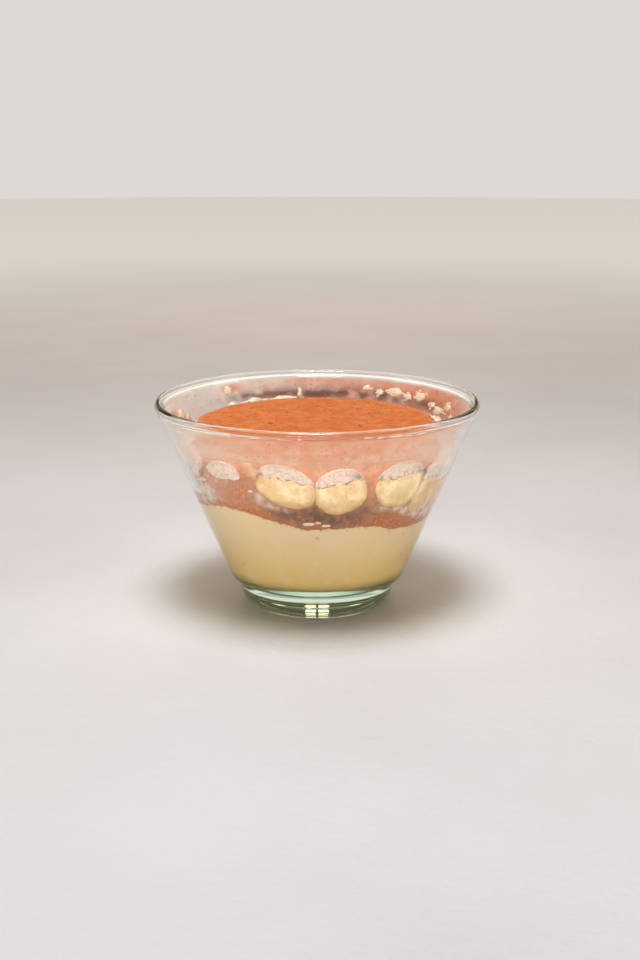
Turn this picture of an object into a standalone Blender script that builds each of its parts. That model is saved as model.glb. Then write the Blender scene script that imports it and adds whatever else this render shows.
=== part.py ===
"""A single-serve tiramisu, built up in a conical clear-glass dessert bowl.

Metres, +Z up. The origin is the centre of the foot, on the surface that the bowl stands on.
The front of the dessert faces -Y. Azimuths are measured from the front, positive to the right (+X).
"""
import math

import bmesh
import bpy
from mathutils import Matrix, Vector, noise

# ---- bowl ---------------------------------------------------------------------------------------
BOWL_HEIGHT = 0.0776
RIM_RADIUS = 0.0600
BEAD_RADIUS = 0.00175           # rounded, slightly thickened rim
BEAD_ARC = (-34, 202)           # degrees, from the outer wall over the top to the inner wall
WALL_SLOPE = 0.4174             # outward run of the wall for each metre of height
WALL_END_Z = 0.0122             # where the cone ends, just above the stacking ledge
WALL_END_RADIUS = 0.0331
WALL_THICKNESS = 0.0028         # measured square to the wall
LEDGE_Z = 0.0102
LEDGE_INNER_RADIUS = 0.0304
FOOT_BULGE_Z = 0.0062           # widest place of the foot, below the ledge
FOOT_BULGE_RADIUS = 0.0289
FOOT_CONTACT_RADIUS = 0.0246    # outer radius of the flat ring that the bowl stands on
PUNT_RADIUS = 0.0215            # the underside is hollowed a little inside this radius
PUNT_DEPTH = 0.0009
FLOOR_Z = 0.0130                # top of the thick solid base, inside
FLOOR_CORNER = 0.0038
BOWL_SEGMENTS = 52

# ---- contents -----------------------------------------------------------------------------------
GAP = 0.0003                    # clearance between solids that touch in the real dessert
CREAM_LEVEL = 0.0406            # mean top of the bottom cream
CREAM_RIPPLE = 0.0005
CREAM_RIPPLES_PER_METRE = 90.0
COCOA_LEVEL = 0.0525            # mean top of the soaked cocoa layer, between the ladyfingers
SWELL_REACH = 0.0440            # radius at which the rises and hollows have their full height
PILE_RADIUS = 0.0458            # the upper pile stands clear of the flaring wall
PILE_WAVES = ((3, 0.7, 0.0005), (7, 2.0, 0.0003))       # count around, phase, depth
PILE_TOP = 0.0676               # top of the upper cream
TOP_ROUNDING = 0.0026
DUSTING_THICKNESS = 0.0010
DUSTING_RADIUS = 0.0438
DUSTING_WAVES = ((2, 1.0, 0.0005), (5, 0.0, 0.0004))
DUSTING_LUMPS = 0.00025
DUSTING_LUMPS_PER_METRE = 140.0
LAYER_SEGMENTS = 40

# rises and hollows of the two soft boundaries at the glass: azimuth, spread (degrees), rise
CREAM_SWELLS = ((-42, 26, 0.0049), (-3, 13, -0.0013), (56, 22, -0.0049), (84, 18, -0.0022),
                (118, 26, 0.0016), (180, 24, -0.0014), (-112, 22, -0.0018))
COCOA_SWELLS = ((-32, 10, 0.0042), (-60, 14, -0.0010), (0, 9, 0.0006), (31, 9, -0.0016),
                (95, 24, 0.0020), (150, 20, -0.0026), (-150, 22, 0.0018))

# ---- ladyfingers --------------------------------------------------------------------------------
FINGER_SIDES = 14
FINGER_END_RINGS = 3
FINGER_BODY_RINGS = 1
FINGER_END = 0.55               # length of a rounded end, as a share of the smaller section size
FINGER_END_POWER = 2.6          # how blunt the rounded ends are
FINGER_PROUD = 0.0012           # how far the ends stand out of the cream
FINGER_ROOM = 0.00042           # how much larger the room for a ladyfinger is than the ladyfinger
FLANK_POWER = 0.88              # section shape: full flanks, domed top and flatter underside
DOME_POWER = 0.95
UNDERSIDE_POWER = 0.80
SEAM_X = -0.0004                # where the two middle ladyfingers press on each other
BESIDE_WALL_X = 0.040           # a ladyfinger further out than this lies along the glass


class Finger:
    """One ladyfinger, lying front to back.

    x, z are the centre of its section and roll its turn about its length (positive lifts the right
    side). front and back are the Y of its two ends, and low_x, high_x flatten its flanks.
    """

    def __init__(self, name, x, z, width, height, roll, front, back, low_x=-1.0, high_x=1.0):
        self.name = name
        self.x = x
        self.z = z
        self.width = width
        self.height = height
        self.roll = math.radians(roll)
        self.front = front
        self.back = back
        self.low_x = low_x
        self.high_x = high_x
        self.beside_wall = abs(x) > BESIDE_WALL_X


FINGERS = (
    Finger("ladyfinger_far_left", -0.0447, 0.0568, 0.0098, 0.0138, -6, -0.0165, 0.0185,
           high_x=-0.0399),
    Finger("ladyfinger_left", -0.0324, 0.0558, 0.0130, 0.0132, -6, -0.0362, 0.0357,
           low_x=-0.0394),
    Finger("ladyfinger_mid_left", -0.0103, 0.0562, 0.0214, 0.0142, -22, -0.0510, 0.0505,
           high_x=SEAM_X - GAP / 2),
    Finger("ladyfinger_mid_right", 0.0077, 0.0545, 0.0186, 0.0166, 19, -0.0512, 0.0508,
           low_x=SEAM_X + GAP / 2),
    Finger("ladyfinger_right", 0.0286, 0.0548, 0.0190, 0.0158, 19, -0.0405, 0.0375,
           high_x=0.0375),
    Finger("ladyfinger_far_right", 0.0418, 0.0512, 0.0110, 0.0156, 4, -0.0175, 0.0155,
           low_x=0.0380),
)

# ---- colour and roughness of each material -------------------------------------------------------
FINISHES = {
    "clear_glass": ((0.90, 0.96, 0.93), 0.03),
    "mascarpone_cream": ((0.80, 0.68, 0.42), 0.45),
    "soaked_cocoa": ((0.27, 0.12, 0.07), 0.75),
    "sponge": ((0.83, 0.66, 0.33), 0.85),
    "dusted_cream": ((0.76, 0.40, 0.24), 0.70),
    "cocoa_powder": ((0.52, 0.17, 0.05), 0.95),
}
GLASS_IOR = 1.5
SHARP_ANGLE = 40


# ---- shared helpers -----------------------------------------------------------------------------
def clear_scene():
    """Remove every object that the file already holds."""
    for item in list(bpy.data.objects):
        bpy.data.objects.remove(item, do_unlink=True)


def plain_material(name):
    """A Principled material with the colour and roughness listed for this name."""
    colour, roughness = FINISHES[name]
    material = bpy.data.materials.new(name)
    material.use_nodes = True
    shader = material.node_tree.nodes["Principled BSDF"]
    shader.inputs["Base Color"].default_value = (*colour, 1.0)
    shader.inputs["Roughness"].default_value = roughness
    shader.inputs["Metallic"].default_value = 0.0
    if name == "clear_glass":
        shader.inputs["Transmission Weight"].default_value = 1.0
        shader.inputs["IOR"].default_value = GLASS_IOR
    return material


def closed_loft(name, rings, first_pole, last_pole, material):
    """Join rings of equal length side by side, close both ends with a fan, and make the object."""
    bm = bmesh.new()
    rows = [[bm.verts.new(point) for point in ring] for ring in rings]
    count = len(rows[0])
    for lower, upper in zip(rows, rows[1:]):
        for i in range(count):
            j = (i + 1) % count
            bm.faces.new((lower[i], lower[j], upper[j]))
            bm.faces.new((lower[i], upper[j], upper[i]))
    for point, ring in ((first_pole, rows[0]), (last_pole, rows[-1])):
        pole = bm.verts.new(point)
        for i in range(count):
            bm.faces.new((pole, ring[i], ring[(i + 1) % count]))
    bmesh.ops.recalc_face_normals(bm, faces=bm.faces)
    mesh = bpy.data.meshes.new(name)
    bm.to_mesh(mesh)
    bm.free()
    mesh.shade_smooth()
    mesh.set_sharp_from_angle(angle=math.radians(SHARP_ANGLE))
    mesh.materials.append(material)
    item = bpy.data.objects.new(name, mesh)
    bpy.context.scene.collection.objects.link(item)
    return item


def arc(centre_r, centre_z, radius, start, end, steps):
    """Points of a circular arc in the turning plane, angles in degrees."""
    angles = [math.radians(start + (end - start) * i / steps) for i in range(steps + 1)]
    return [(centre_r + radius * math.cos(a), centre_z + radius * math.sin(a)) for a in angles]


def at_azimuth(radius, azimuth):
    """X and Y at this radius and azimuth."""
    return radius * math.sin(azimuth), -radius * math.cos(azimuth)


def wave_sum(azimuth, waves):
    """Sum of sine waves around the axis: count around, phase, depth."""
    return sum(depth * math.sin(count * azimuth + phase) for count, phase, depth in waves)


def swell_sum(azimuth, swells):
    """Sum of the rounded rises and hollows at this azimuth, in radians."""
    total = 0.0
    for centre, spread, rise in swells:
        away = (math.degrees(azimuth) - centre + 180.0) % 360.0 - 180.0
        total += rise * math.exp(-(away / spread) ** 2)
    return total


# ---- bowl ---------------------------------------------------------------------------------------
def wall_radius(z):
    """Inner radius of the glass wall at height z, above the rounded corner of the floor."""
    across = WALL_THICKNESS * math.hypot(1.0, WALL_SLOPE)
    return WALL_END_RADIUS + WALL_SLOPE * (z - WALL_END_Z) - across


def cavity_radius(z):
    """Inner radius of the bowl at height z, with the floor's rounded corner."""
    radius = wall_radius(z)
    below = FLOOR_Z + FLOOR_CORNER - z
    if below > 0:
        radius -= FLOOR_CORNER - math.sqrt(max(FLOOR_CORNER ** 2 - below ** 2, 0.0))
    return radius


def foot_profile():
    """The hollowed underside, the flat ring and the rounded foot, up to the ledge."""
    profile = [(PUNT_RADIUS * 0.55, PUNT_DEPTH), (PUNT_RADIUS * 0.85, PUNT_DEPTH * 0.55),
               (PUNT_RADIUS, 0.0)]
    steps = 3
    for i in range(steps + 1):
        turn = math.pi / 2 * i / steps
        radius = FOOT_CONTACT_RADIUS + (FOOT_BULGE_RADIUS - FOOT_CONTACT_RADIUS) * math.sin(turn)
        profile.append((radius, FOOT_BULGE_Z * (1.0 - math.cos(turn))))
    profile.append((LEDGE_INNER_RADIUS, LEDGE_Z))
    return profile


def wall_profile():
    """The wall's rounded lower end, the rim bead, the inner wall, the floor corner and floor."""
    ledge_round = WALL_END_Z - LEDGE_Z
    profile = arc(WALL_END_RADIUS - ledge_round, WALL_END_Z, ledge_round, -90, -22, 3)
    profile += arc(RIM_RADIUS - BEAD_RADIUS, BOWL_HEIGHT - BEAD_RADIUS, BEAD_RADIUS, *BEAD_ARC, 9)
    profile += [(wall_radius(BOWL_HEIGHT * share), BOWL_HEIGHT * share) for share in (0.72, 0.45)]
    steps = 4
    for i in range(steps + 1):
        z = FLOOR_Z + FLOOR_CORNER * (1.0 - math.sin(math.pi / 2 * i / steps))
        profile.append((cavity_radius(z), z))
    profile.append((cavity_radius(FLOOR_Z) * 0.5, FLOOR_Z))
    return profile


def build_bowl(material):
    """Turn the bowl's profile about the Z axis."""
    turns = [2 * math.pi * i / BOWL_SEGMENTS for i in range(BOWL_SEGMENTS)]
    rings = []
    for radius, z in foot_profile() + wall_profile():
        rings.append([(*at_azimuth(radius, azimuth), z) for azimuth in turns])
    return closed_loft("glass_bowl", rings, (0, 0, PUNT_DEPTH), (0, 0, FLOOR_Z), material)


# ---- layers -------------------------------------------------------------------------------------
def swell_height(x, y, level, swells):
    """Height of a soft boundary, level near the axis and uneven at the glass."""
    reach = min(math.hypot(x, y) / SWELL_REACH, 1.0)
    return level + reach ** 2 * swell_sum(math.atan2(x, -y), swells)


def cream_top(x, y):
    """Height of the bottom cream's wavy top."""
    ripple = CREAM_RIPPLE * noise.noise(Vector((x, y, 0.0)) * CREAM_RIPPLES_PER_METRE)
    return swell_height(x, y, CREAM_LEVEL, CREAM_SWELLS) + ripple


def cocoa_top(x, y):
    """Height of the soaked cocoa layer's top between the ladyfingers."""
    return swell_height(x, y, COCOA_LEVEL, COCOA_SWELLS)


def cavity_floor(x, y):
    """Underside of the bottom cream, just clear of the glass floor and of its corner."""
    flat = cavity_radius(FLOOR_Z) - GAP
    return FLOOR_Z + GAP + max(math.hypot(x, y) - flat, 0.0)


def pile_radius(z, azimuth):
    """Outer radius of the contents: at the glass low down, and clear of it in the upper pile."""
    upper = PILE_RADIUS + wave_sum(azimuth, PILE_WAVES)
    shoulder = min(max(z - (PILE_TOP - TOP_ROUNDING), 0.0), 0.9 * TOP_ROUNDING)
    upper -= TOP_ROUNDING - math.sqrt(TOP_ROUNDING ** 2 - shoulder ** 2)
    return min(cavity_radius(z) - GAP, upper)


def outline_point(azimuth, surface):
    """Radius and height where a surface meets the contents' outline, found by a few repeats."""
    radius, height = SWELL_REACH, 0.0
    for _ in range(12):
        height = surface(*at_azimuth(radius, azimuth))
        radius = pile_radius(height, azimuth)
    return radius, height


def layer_body(name, low, high, side_steps, radial_steps, material):
    """A layer between two surfaces low(x, y) and high(x, y), out to the contents' outline."""
    turns = [2 * math.pi * i / LAYER_SEGMENTS for i in range(LAYER_SEGMENTS)]
    low_edge = [outline_point(azimuth, low) for azimuth in turns]
    high_edge = [outline_point(azimuth, high) for azimuth in turns]

    def surface_ring(surface, edge, share):
        """Points of a surface at this share of the way out."""
        places = [at_azimuth(point[0] * share, turn) for point, turn in zip(edge, turns)]
        return [(x, y, surface(x, y)) for x, y in places]

    def side_ring(share):
        """Points of the side at this share of the way up."""
        ring = []
        for (_, start), (_, stop), azimuth in zip(low_edge, high_edge, turns):
            z = start + (stop - start) * share
            ring.append((*at_azimuth(pile_radius(z, azimuth), azimuth), z))
        return ring

    outward = [math.sin(math.pi / 2 * i / radial_steps) for i in range(1, radial_steps)]
    rings = [surface_ring(low, low_edge, share) for share in outward]
    rings += [side_ring(i / side_steps) for i in range(side_steps + 1)]
    rings += [surface_ring(high, high_edge, share) for share in reversed(outward)]
    return closed_loft(name, rings, (0, 0, low(0, 0)), (0, 0, high(0, 0)), material)


def build_bottom_cream(material):
    """The pale cream that fills the lower half of the bowl."""
    return layer_body("bottom_cream", cavity_floor, cream_top, 6, 4, material)


def build_cocoa_layer(material):
    """The coffee-soaked cocoa between the bottom cream and the ladyfingers."""
    return layer_body("cocoa_layer", lambda x, y: cream_top(x, y) + GAP, cocoa_top, 3, 5, material)


def build_top_cream(material):
    """The upper cream that wraps the ladyfingers and covers them with a flat top."""
    return layer_body("top_cream", lambda x, y: cocoa_top(x, y) + GAP,
                      lambda x, y: PILE_TOP, 5, 5, material)


def dusting_ring(share, lift):
    """One ring of the cocoa dusting, at a share of its uneven radius and a lift over the cream."""
    ring = []
    for i in range(LAYER_SEGMENTS):
        azimuth = 2 * math.pi * i / LAYER_SEGMENTS
        x, y = at_azimuth((DUSTING_RADIUS + wave_sum(azimuth, DUSTING_WAVES)) * share, azimuth)
        lump = noise.noise(Vector((x, y, 1.0)) * DUSTING_LUMPS_PER_METRE)
        lump *= DUSTING_LUMPS * lift / DUSTING_THICKNESS
        ring.append((x, y, PILE_TOP + GAP + lift + lump))
    return ring


def build_dusting(material):
    """The thick dusting of cocoa powder on the top, with a rounded, uneven edge."""
    full = DUSTING_THICKNESS
    rings = [dusting_ring(share, lift) for share, lift in (
        (0.5, 0.0), (0.985, 0.0), (1.0, full * 0.45), (0.975, full * 0.9), (0.7, full), (0.35, full))]
    low = PILE_TOP + GAP
    return closed_loft("cocoa_dusting", rings, (0, 0, low), (0, 0, low + full), material)


# ---- ladyfingers --------------------------------------------------------------------------------
def rounded(value, power):
    """A sine or cosine, bent towards a fuller or flatter curve."""
    return math.copysign(abs(value) ** power, value)


def finger_section(finger, scale, grow):
    """Domed section with a flatter underside, turned by the ladyfinger's roll."""
    points = []
    for i in range(FINGER_SIDES):
        angle = 2 * math.pi * i / FINGER_SIDES
        up_power = DOME_POWER if math.sin(angle) > 0 else UNDERSIDE_POWER
        dx = (finger.width / 2 + grow) * scale * rounded(math.cos(angle), FLANK_POWER)
        dz = (finger.height / 2 + grow) * scale * rounded(math.sin(angle), up_power)
        turned = Matrix.Rotation(finger.roll, 2) @ Vector((dx, dz))
        points.append((finger.x + turned.x, finger.z + turned.y))
    return points


def hold_in_bowl(x, y, z, finger, grow):
    """Flatten a point against the next ladyfingers, and against the glass or the pile's side."""
    x = min(max(x, finger.low_x - grow), finger.high_x + grow)
    limit = cavity_radius(z) - GAP
    if finger.beside_wall:
        limit += grow
        reach = math.sqrt(max(limit ** 2 - y ** 2, 0.0))
        return math.copysign(min(abs(x), reach), x), y, z
    limit = min(limit, PILE_RADIUS + FINGER_PROUD) + grow
    reach = math.sqrt(max(limit ** 2 - x ** 2, 0.0))
    return x, math.copysign(min(abs(y), reach), y), z


def finger_stations(start, stop, end):
    """Y and section scale of each ring of a ladyfinger: round end, plain body, round end."""
    shares = [(i / FINGER_END_RINGS) ** 1.6 for i in range(1, FINGER_END_RINGS + 1)]
    scales = [(1.0 - (1.0 - share) ** FINGER_END_POWER) ** (1 / FINGER_END_POWER)
              for share in shares]
    body = [(i + 1) / (FINGER_BODY_RINGS + 1) for i in range(FINGER_BODY_RINGS)]
    stations = [(start + end * share, scale) for share, scale in zip(shares, scales)]
    stations += [(start + end + (stop - start - 2 * end) * share, 1.0) for share in body]
    stations += [(stop - end * share, scale) for share, scale in zip(shares[::-1], scales[::-1])]
    return stations


def build_finger(name, finger, material, grow=0.0):
    """Loft a ladyfinger along Y, grown all round where it only makes room for one."""
    start, stop = finger.front - grow, finger.back + grow
    end = min(finger.width, finger.height) * FINGER_END
    rings = []
    for y, scale in finger_stations(start, stop, end):
        section = finger_section(finger, scale, grow)
        rings.append([hold_in_bowl(x, y, z, finger, grow) for x, z in section])
    poles = [hold_in_bowl(finger.x, y, finger.z, finger, grow) for y in (start, stop)]
    return closed_loft(name, rings, *poles, material)


def build_finger_room(finger, material):
    """The cutter that makes room for a ladyfinger in the layers around it."""
    cutter = build_finger(finger.name + "_room", finger, material, FINGER_ROOM)
    cutter.hide_render = True
    cutter.display_type = "WIRE"
    return cutter


def body_of(first):
    """Every vertex joined to this one by edges."""
    body, queue = {first}, [first]
    while queue:
        for edge in queue.pop().link_edges:
            for vert in edge.verts:
                if vert not in body:
                    body.add(vert)
                    queue.append(vert)
    return body


def keep_largest_body(mesh):
    """Delete the loose crumbs that a cut leaves, and keep the one large body."""
    bm = bmesh.new()
    bm.from_mesh(mesh)
    left = set(bm.verts)
    largest = set()
    while left:
        body = body_of(next(vert for vert in bm.verts if vert in left))
        left -= body
        largest = max(largest, body, key=len)
    bmesh.ops.delete(bm, geom=[v for v in bm.verts if v not in largest], context="VERTS")
    bm.to_mesh(mesh)
    bm.free()


def cut_by(body, cutters):
    """Cut the body with each cutter, and keep what stays in one piece."""
    for cutter in cutters:
        modifier = body.modifiers.new(cutter.name, "BOOLEAN")
        modifier.operation = "DIFFERENCE"
        modifier.object = cutter
    bpy.context.view_layer.update()
    evaluated = body.evaluated_get(bpy.context.evaluated_depsgraph_get())
    mesh = bpy.data.meshes.new_from_object(evaluated)
    body.modifiers.clear()
    keep_largest_body(mesh)
    body.data = mesh


def main():
    """Build the bowl, the layers and the ladyfingers, and cut room for the ladyfingers."""
    clear_scene()
    materials = {name: plain_material(name) for name in FINISHES}
    build_bowl(materials["clear_glass"])
    build_bottom_cream(materials["mascarpone_cream"])
    cocoa_layer = build_cocoa_layer(materials["soaked_cocoa"])
    top_cream = build_top_cream(materials["dusted_cream"])
    build_dusting(materials["cocoa_powder"])
    for finger in FINGERS:
        build_finger(finger.name, finger, materials["sponge"])
    rooms = [build_finger_room(finger, materials["sponge"]) for finger in FINGERS]
    cut_by(cocoa_layer, rooms)
    cut_by(top_cream, rooms)


main()
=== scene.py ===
"""The looks of a single-serve tiramisu in a conical clear-glass dessert bowl.

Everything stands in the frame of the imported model: metres, +Z up, the front of the dessert at -Y.
Azimuths are measured from the front, in degrees, positive to the right (+X).
"""

import logging
import math
from dataclasses import dataclass
from enum import Enum
from typing import Sequence

import bmesh
import bpy
import numpy as np
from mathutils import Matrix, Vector, noise


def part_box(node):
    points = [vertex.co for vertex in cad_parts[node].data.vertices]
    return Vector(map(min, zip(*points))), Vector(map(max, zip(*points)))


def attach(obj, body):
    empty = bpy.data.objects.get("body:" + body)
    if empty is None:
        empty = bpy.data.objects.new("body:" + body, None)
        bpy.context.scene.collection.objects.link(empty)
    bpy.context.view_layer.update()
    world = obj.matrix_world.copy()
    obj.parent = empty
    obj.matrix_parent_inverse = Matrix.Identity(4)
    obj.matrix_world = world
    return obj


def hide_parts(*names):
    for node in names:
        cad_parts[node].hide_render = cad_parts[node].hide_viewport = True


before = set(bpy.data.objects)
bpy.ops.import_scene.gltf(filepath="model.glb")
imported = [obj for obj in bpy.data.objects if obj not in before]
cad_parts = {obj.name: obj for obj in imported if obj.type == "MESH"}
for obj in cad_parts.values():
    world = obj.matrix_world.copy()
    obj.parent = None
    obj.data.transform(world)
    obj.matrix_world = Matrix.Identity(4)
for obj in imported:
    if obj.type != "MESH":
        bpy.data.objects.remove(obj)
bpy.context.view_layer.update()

LOG = logging.getLogger("tiramisu")
BODY = "root"
MM = 0.001
SEED = 20

Tone = tuple[int, int, int]         # a colour as it shows on a screen, 0 to 255
Socket = bpy.types.NodeSocket
Value = float | Socket

JOIN: Tone = (180, 112, 66)         # where the soaked layer and the cream above run together


class Slot(Enum):
    """The record's material slots."""

    GLASS = "clear_glass"
    CREAM = "mascarpone_cream"
    SOAKED = "soaked_cocoa"
    SPONGE = "sponge"
    STAINED = "dusted_cream"
    POWDER = "cocoa_powder"


class Mask(Enum):
    """Values from 0 to 1 that a mesh carries at its points, for its material to read."""

    RISE = "rise"               # how far up the piece a point lies
    POWDER = "powder"           # orange-brown cocoa powder that stayed dry
    DEEP = "deep"               # where the soaked layer is darkest
    HAZE = "haze"               # pale film of cream over a darker layer
    SEAM = "seam"               # nearness to the layer below
    PALE = "pale"               # streaks of plain cream
    CRUST = "crust"             # sugar crust of a ladyfinger
    CRACK_SHADE = "crack_shade"             # painted shade in the crust's cracks and the crinkle under its edge
    TOAST = "toast"             # golden outer zone of the sponge
    STAIN_AND_EDGE_SHADE = "stain_and_edge_shade"             # soaked coffee and cocoa, and painted shade round each end's rim
    FILM = "film"               # thickness of the dust on the glass
    GAP_SHADE = "gap_shade"               # painted shade of the shadowed gap above the pile at the back


# ---- numbers and fields --------------------------------------------------------------------------
def linear(tone: Tone) -> tuple[float, float, float, float]:
    """The scene-linear colour, with alpha 1, of a colour as it shows on a screen."""
    shares = [value / 255 for value in tone]
    parts = [s / 12.92 if s <= 0.04045 else ((s + 0.055) / 1.055) ** 2.4 for s in shares]
    return (*parts, 1.0)


def smooth_step(low: float, high: float, values: np.ndarray) -> np.ndarray:
    """Rise smoothly from 0 at low to 1 at high."""
    share = np.clip((values - low) / (high - low), 0.0, 1.0)
    return share * share * (3.0 - 2.0 * share)


def soft_minimum(first: np.ndarray, second: np.ndarray, easing: float) -> np.ndarray:
    """The smaller of two values, with the corner between them rounded within easing."""
    near = np.maximum(easing - np.abs(first - second), 0.0)
    return np.minimum(first, second) - near * near / (4.0 * easing)


def noise_field(points: np.ndarray, size: float, octaves: int = 2, seed: float = 0.0) -> np.ndarray:
    """Soft noise, about -1 to 1, at every point.

    Args:
        points: positions, shaped (..., 3), in metres.
        size: size of the largest lumps, in metres.
        octaves: how many times a finer layer of half the size is added.
        seed: shifts the pattern, so that two fields differ.

    Returns:
        One value for each point, in the shape of points without its last axis.
    """
    flat = points.reshape(-1, 3) / size + seed
    values = [noise.fractal(Vector(place), 1.0, 2.0, octaves) for place in flat.tolist()]
    return np.array(values).reshape(points.shape[:-1])


def crackle_field(points: np.ndarray, size: float, seed: float = 0.0) -> np.ndarray:
    """Distance to the nearest edge between cells, as a share of the cell size, at every point."""
    flat = points.reshape(-1, 3) / size + seed
    values = []
    for place in flat.tolist():
        distances, _ = noise.voronoi(Vector(place))
        values.append(distances[1] - distances[0])
    return np.array(values).reshape(points.shape[:-1])


def on_circle(radius: np.ndarray, azimuth: np.ndarray, z: np.ndarray) -> np.ndarray:
    """Points at these radii, azimuths (degrees) and heights, with x, y, z on the last axis."""
    angle = np.radians(azimuth)
    parts = np.broadcast_arrays(radius * np.sin(angle), -radius * np.cos(angle), z)
    return np.stack(parts, axis=-1)


def arc_points(centre: tuple[float, float], radius: float, start: float, end: float,
               steps: int) -> list[tuple[float, float]]:
    """Radius and height of points along a circular arc, angles in degrees."""
    angles = np.radians(np.linspace(start, end, steps + 1))
    return [(centre[0] + radius * math.cos(a), centre[1] + radius * math.sin(a)) for a in angles]


def angle_between(azimuth: np.ndarray, centre: float) -> np.ndarray:
    """Signed angle from centre to each azimuth, -180 to 180 degrees."""
    return (azimuth - centre + 180.0) % 360.0 - 180.0


@dataclass(frozen=True)
class Swell:
    """A rounded rise or hollow of a layer's edge: place and spread in degrees, rise in metres."""

    azimuth: float
    spread: float
    rise: float

    def height(self, azimuth: np.ndarray) -> np.ndarray:
        """What this swell adds at each azimuth."""
        return self.rise * np.exp(-(angle_between(azimuth, self.azimuth) / self.spread) ** 2)


@dataclass(frozen=True)
class Patch:
    """A soft spot on the side of the contents.

    azimuth and spread are in degrees, z and tall in millimetres. lean tips the spot: it is how many
    millimetres it rises for each degree to the right.
    """

    azimuth: float
    z: float
    spread: float
    tall: float
    strength: float = 1.0
    lean: float = 0.0

    def cover(self, azimuth: np.ndarray, z: np.ndarray) -> np.ndarray:
        """How strongly the spot covers each place."""
        aside = angle_between(azimuth, self.azimuth)
        above = z / MM - self.z - self.lean * aside
        return self.strength * np.exp(-(aside / self.spread) ** 2 - (above / self.tall) ** 2)


def patch_cover(patches: Sequence[Patch], azimuth: np.ndarray, z: np.ndarray) -> np.ndarray:
    """The joint cover of several spots, 0 to 1."""
    bare = np.ones(np.broadcast(azimuth, z).shape)
    for patch in patches:
        bare = bare * (1.0 - np.clip(patch.cover(azimuth, z), 0.0, 1.0))
    return 1.0 - bare


# ---- meshes ----------------------------------------------------------------------------------------
def make_object(name: str, points: np.ndarray, faces: list, masks: dict[Mask, np.ndarray]
                ) -> bpy.types.Object:
    """Make a smooth-shaded mesh object whose faces point outwards.

    Args:
        name: the piece's name.
        points: positions, shaped (count, 3).
        faces: tuples of point numbers.
        masks: a value for each point, for each mask that the material reads.

    Returns:
        The new object, in the scene.
    """
    mesh = bpy.data.meshes.new(name)
    mesh.from_pydata(points.tolist(), [], faces)
    bm = bmesh.new()
    bm.from_mesh(mesh)
    bmesh.ops.recalc_face_normals(bm, faces=bm.faces)
    bm.to_mesh(mesh)
    bm.free()
    mesh.shade_smooth()
    for mask, values in masks.items():
        layer = mesh.attributes.new(mask.value, "FLOAT", "POINT")
        layer.data.foreach_set("value", np.clip(values, 0.0, 1.0).astype(np.float32))
    piece = bpy.data.objects.new(name, mesh)
    bpy.context.scene.collection.objects.link(piece)
    return piece


def ring_quads(count: int, places: int) -> list[list[int]]:
    """Point numbers of the faces between rings that lie side by side, each ring closed.

    Args:
        count: how many rings there are.
        places: how many points each ring has.

    Returns:
        Four point numbers for each face.
    """
    ring = np.arange(count - 1)[:, None] * places
    here = np.arange(places)[None, :]
    beside = (here + 1) % places
    return np.stack([ring + here, ring + beside, ring + places + beside, ring + places + here],
                    axis=-1).reshape(-1, 4).tolist()


def closed_skin(name: str, rings: np.ndarray, masks: dict[Mask, np.ndarray] | None = None
                ) -> bpy.types.Object:
    """Join closed rings side by side and close the first and the last one with a fan.

    Args:
        name: the piece's name.
        rings: positions, shaped (ring, place, 3).
        masks: values shaped (ring, place) for each mask.

    Returns:
        The new object.
    """
    count, places = rings.shape[:2]
    quads = ring_quads(count, places)
    first, last, top = count * places, count * places + 1, (count - 1) * places
    fans = [(first, (i + 1) % places, i) for i in range(places)]
    fans += [(last, top + i, top + (i + 1) % places) for i in range(places)]
    poles = rings[[0, -1]].mean(axis=1)
    values = {mask: np.concatenate([field_.ravel(), field_[[0, -1]].mean(axis=1)])
              for mask, field_ in (masks or {}).items()}
    return make_object(name, np.concatenate([rings.reshape(-1, 3), poles]), quads + fans, values)


def ring_normals(rings: np.ndarray) -> np.ndarray:
    """Unit normals of a lofted surface, pointing away from its axis, shaped like rings."""
    along = np.gradient(rings, axis=0)
    around = np.roll(rings, -1, axis=1) - np.roll(rings, 1, axis=1)
    normal = np.cross(around, along)
    normal /= np.maximum(np.linalg.norm(normal, axis=-1, keepdims=True), 1e-12)
    middle = rings.mean(axis=(0, 1))
    outward = np.sum(normal * (rings - middle), axis=-1).mean()
    return normal if outward > 0 else -normal


def install(piece: bpy.types.Object, material: bpy.types.Material, slot: Slot,
            replaced: Sequence[str] = ()) -> None:
    """Dress a piece, hang it on the part's one body and report it.

    Args:
        piece: the object, in place.
        material: its finish.
        slot: the record's material slot that the finish belongs to.
        replaced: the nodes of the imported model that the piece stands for.
    """
    piece.data.materials.append(material)
    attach(piece, BODY)
    if replaced:
        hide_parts(*replaced)
    LOG.info("%s: %d faces, %s", piece.name, len(piece.data.polygons), slot.value)


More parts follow.
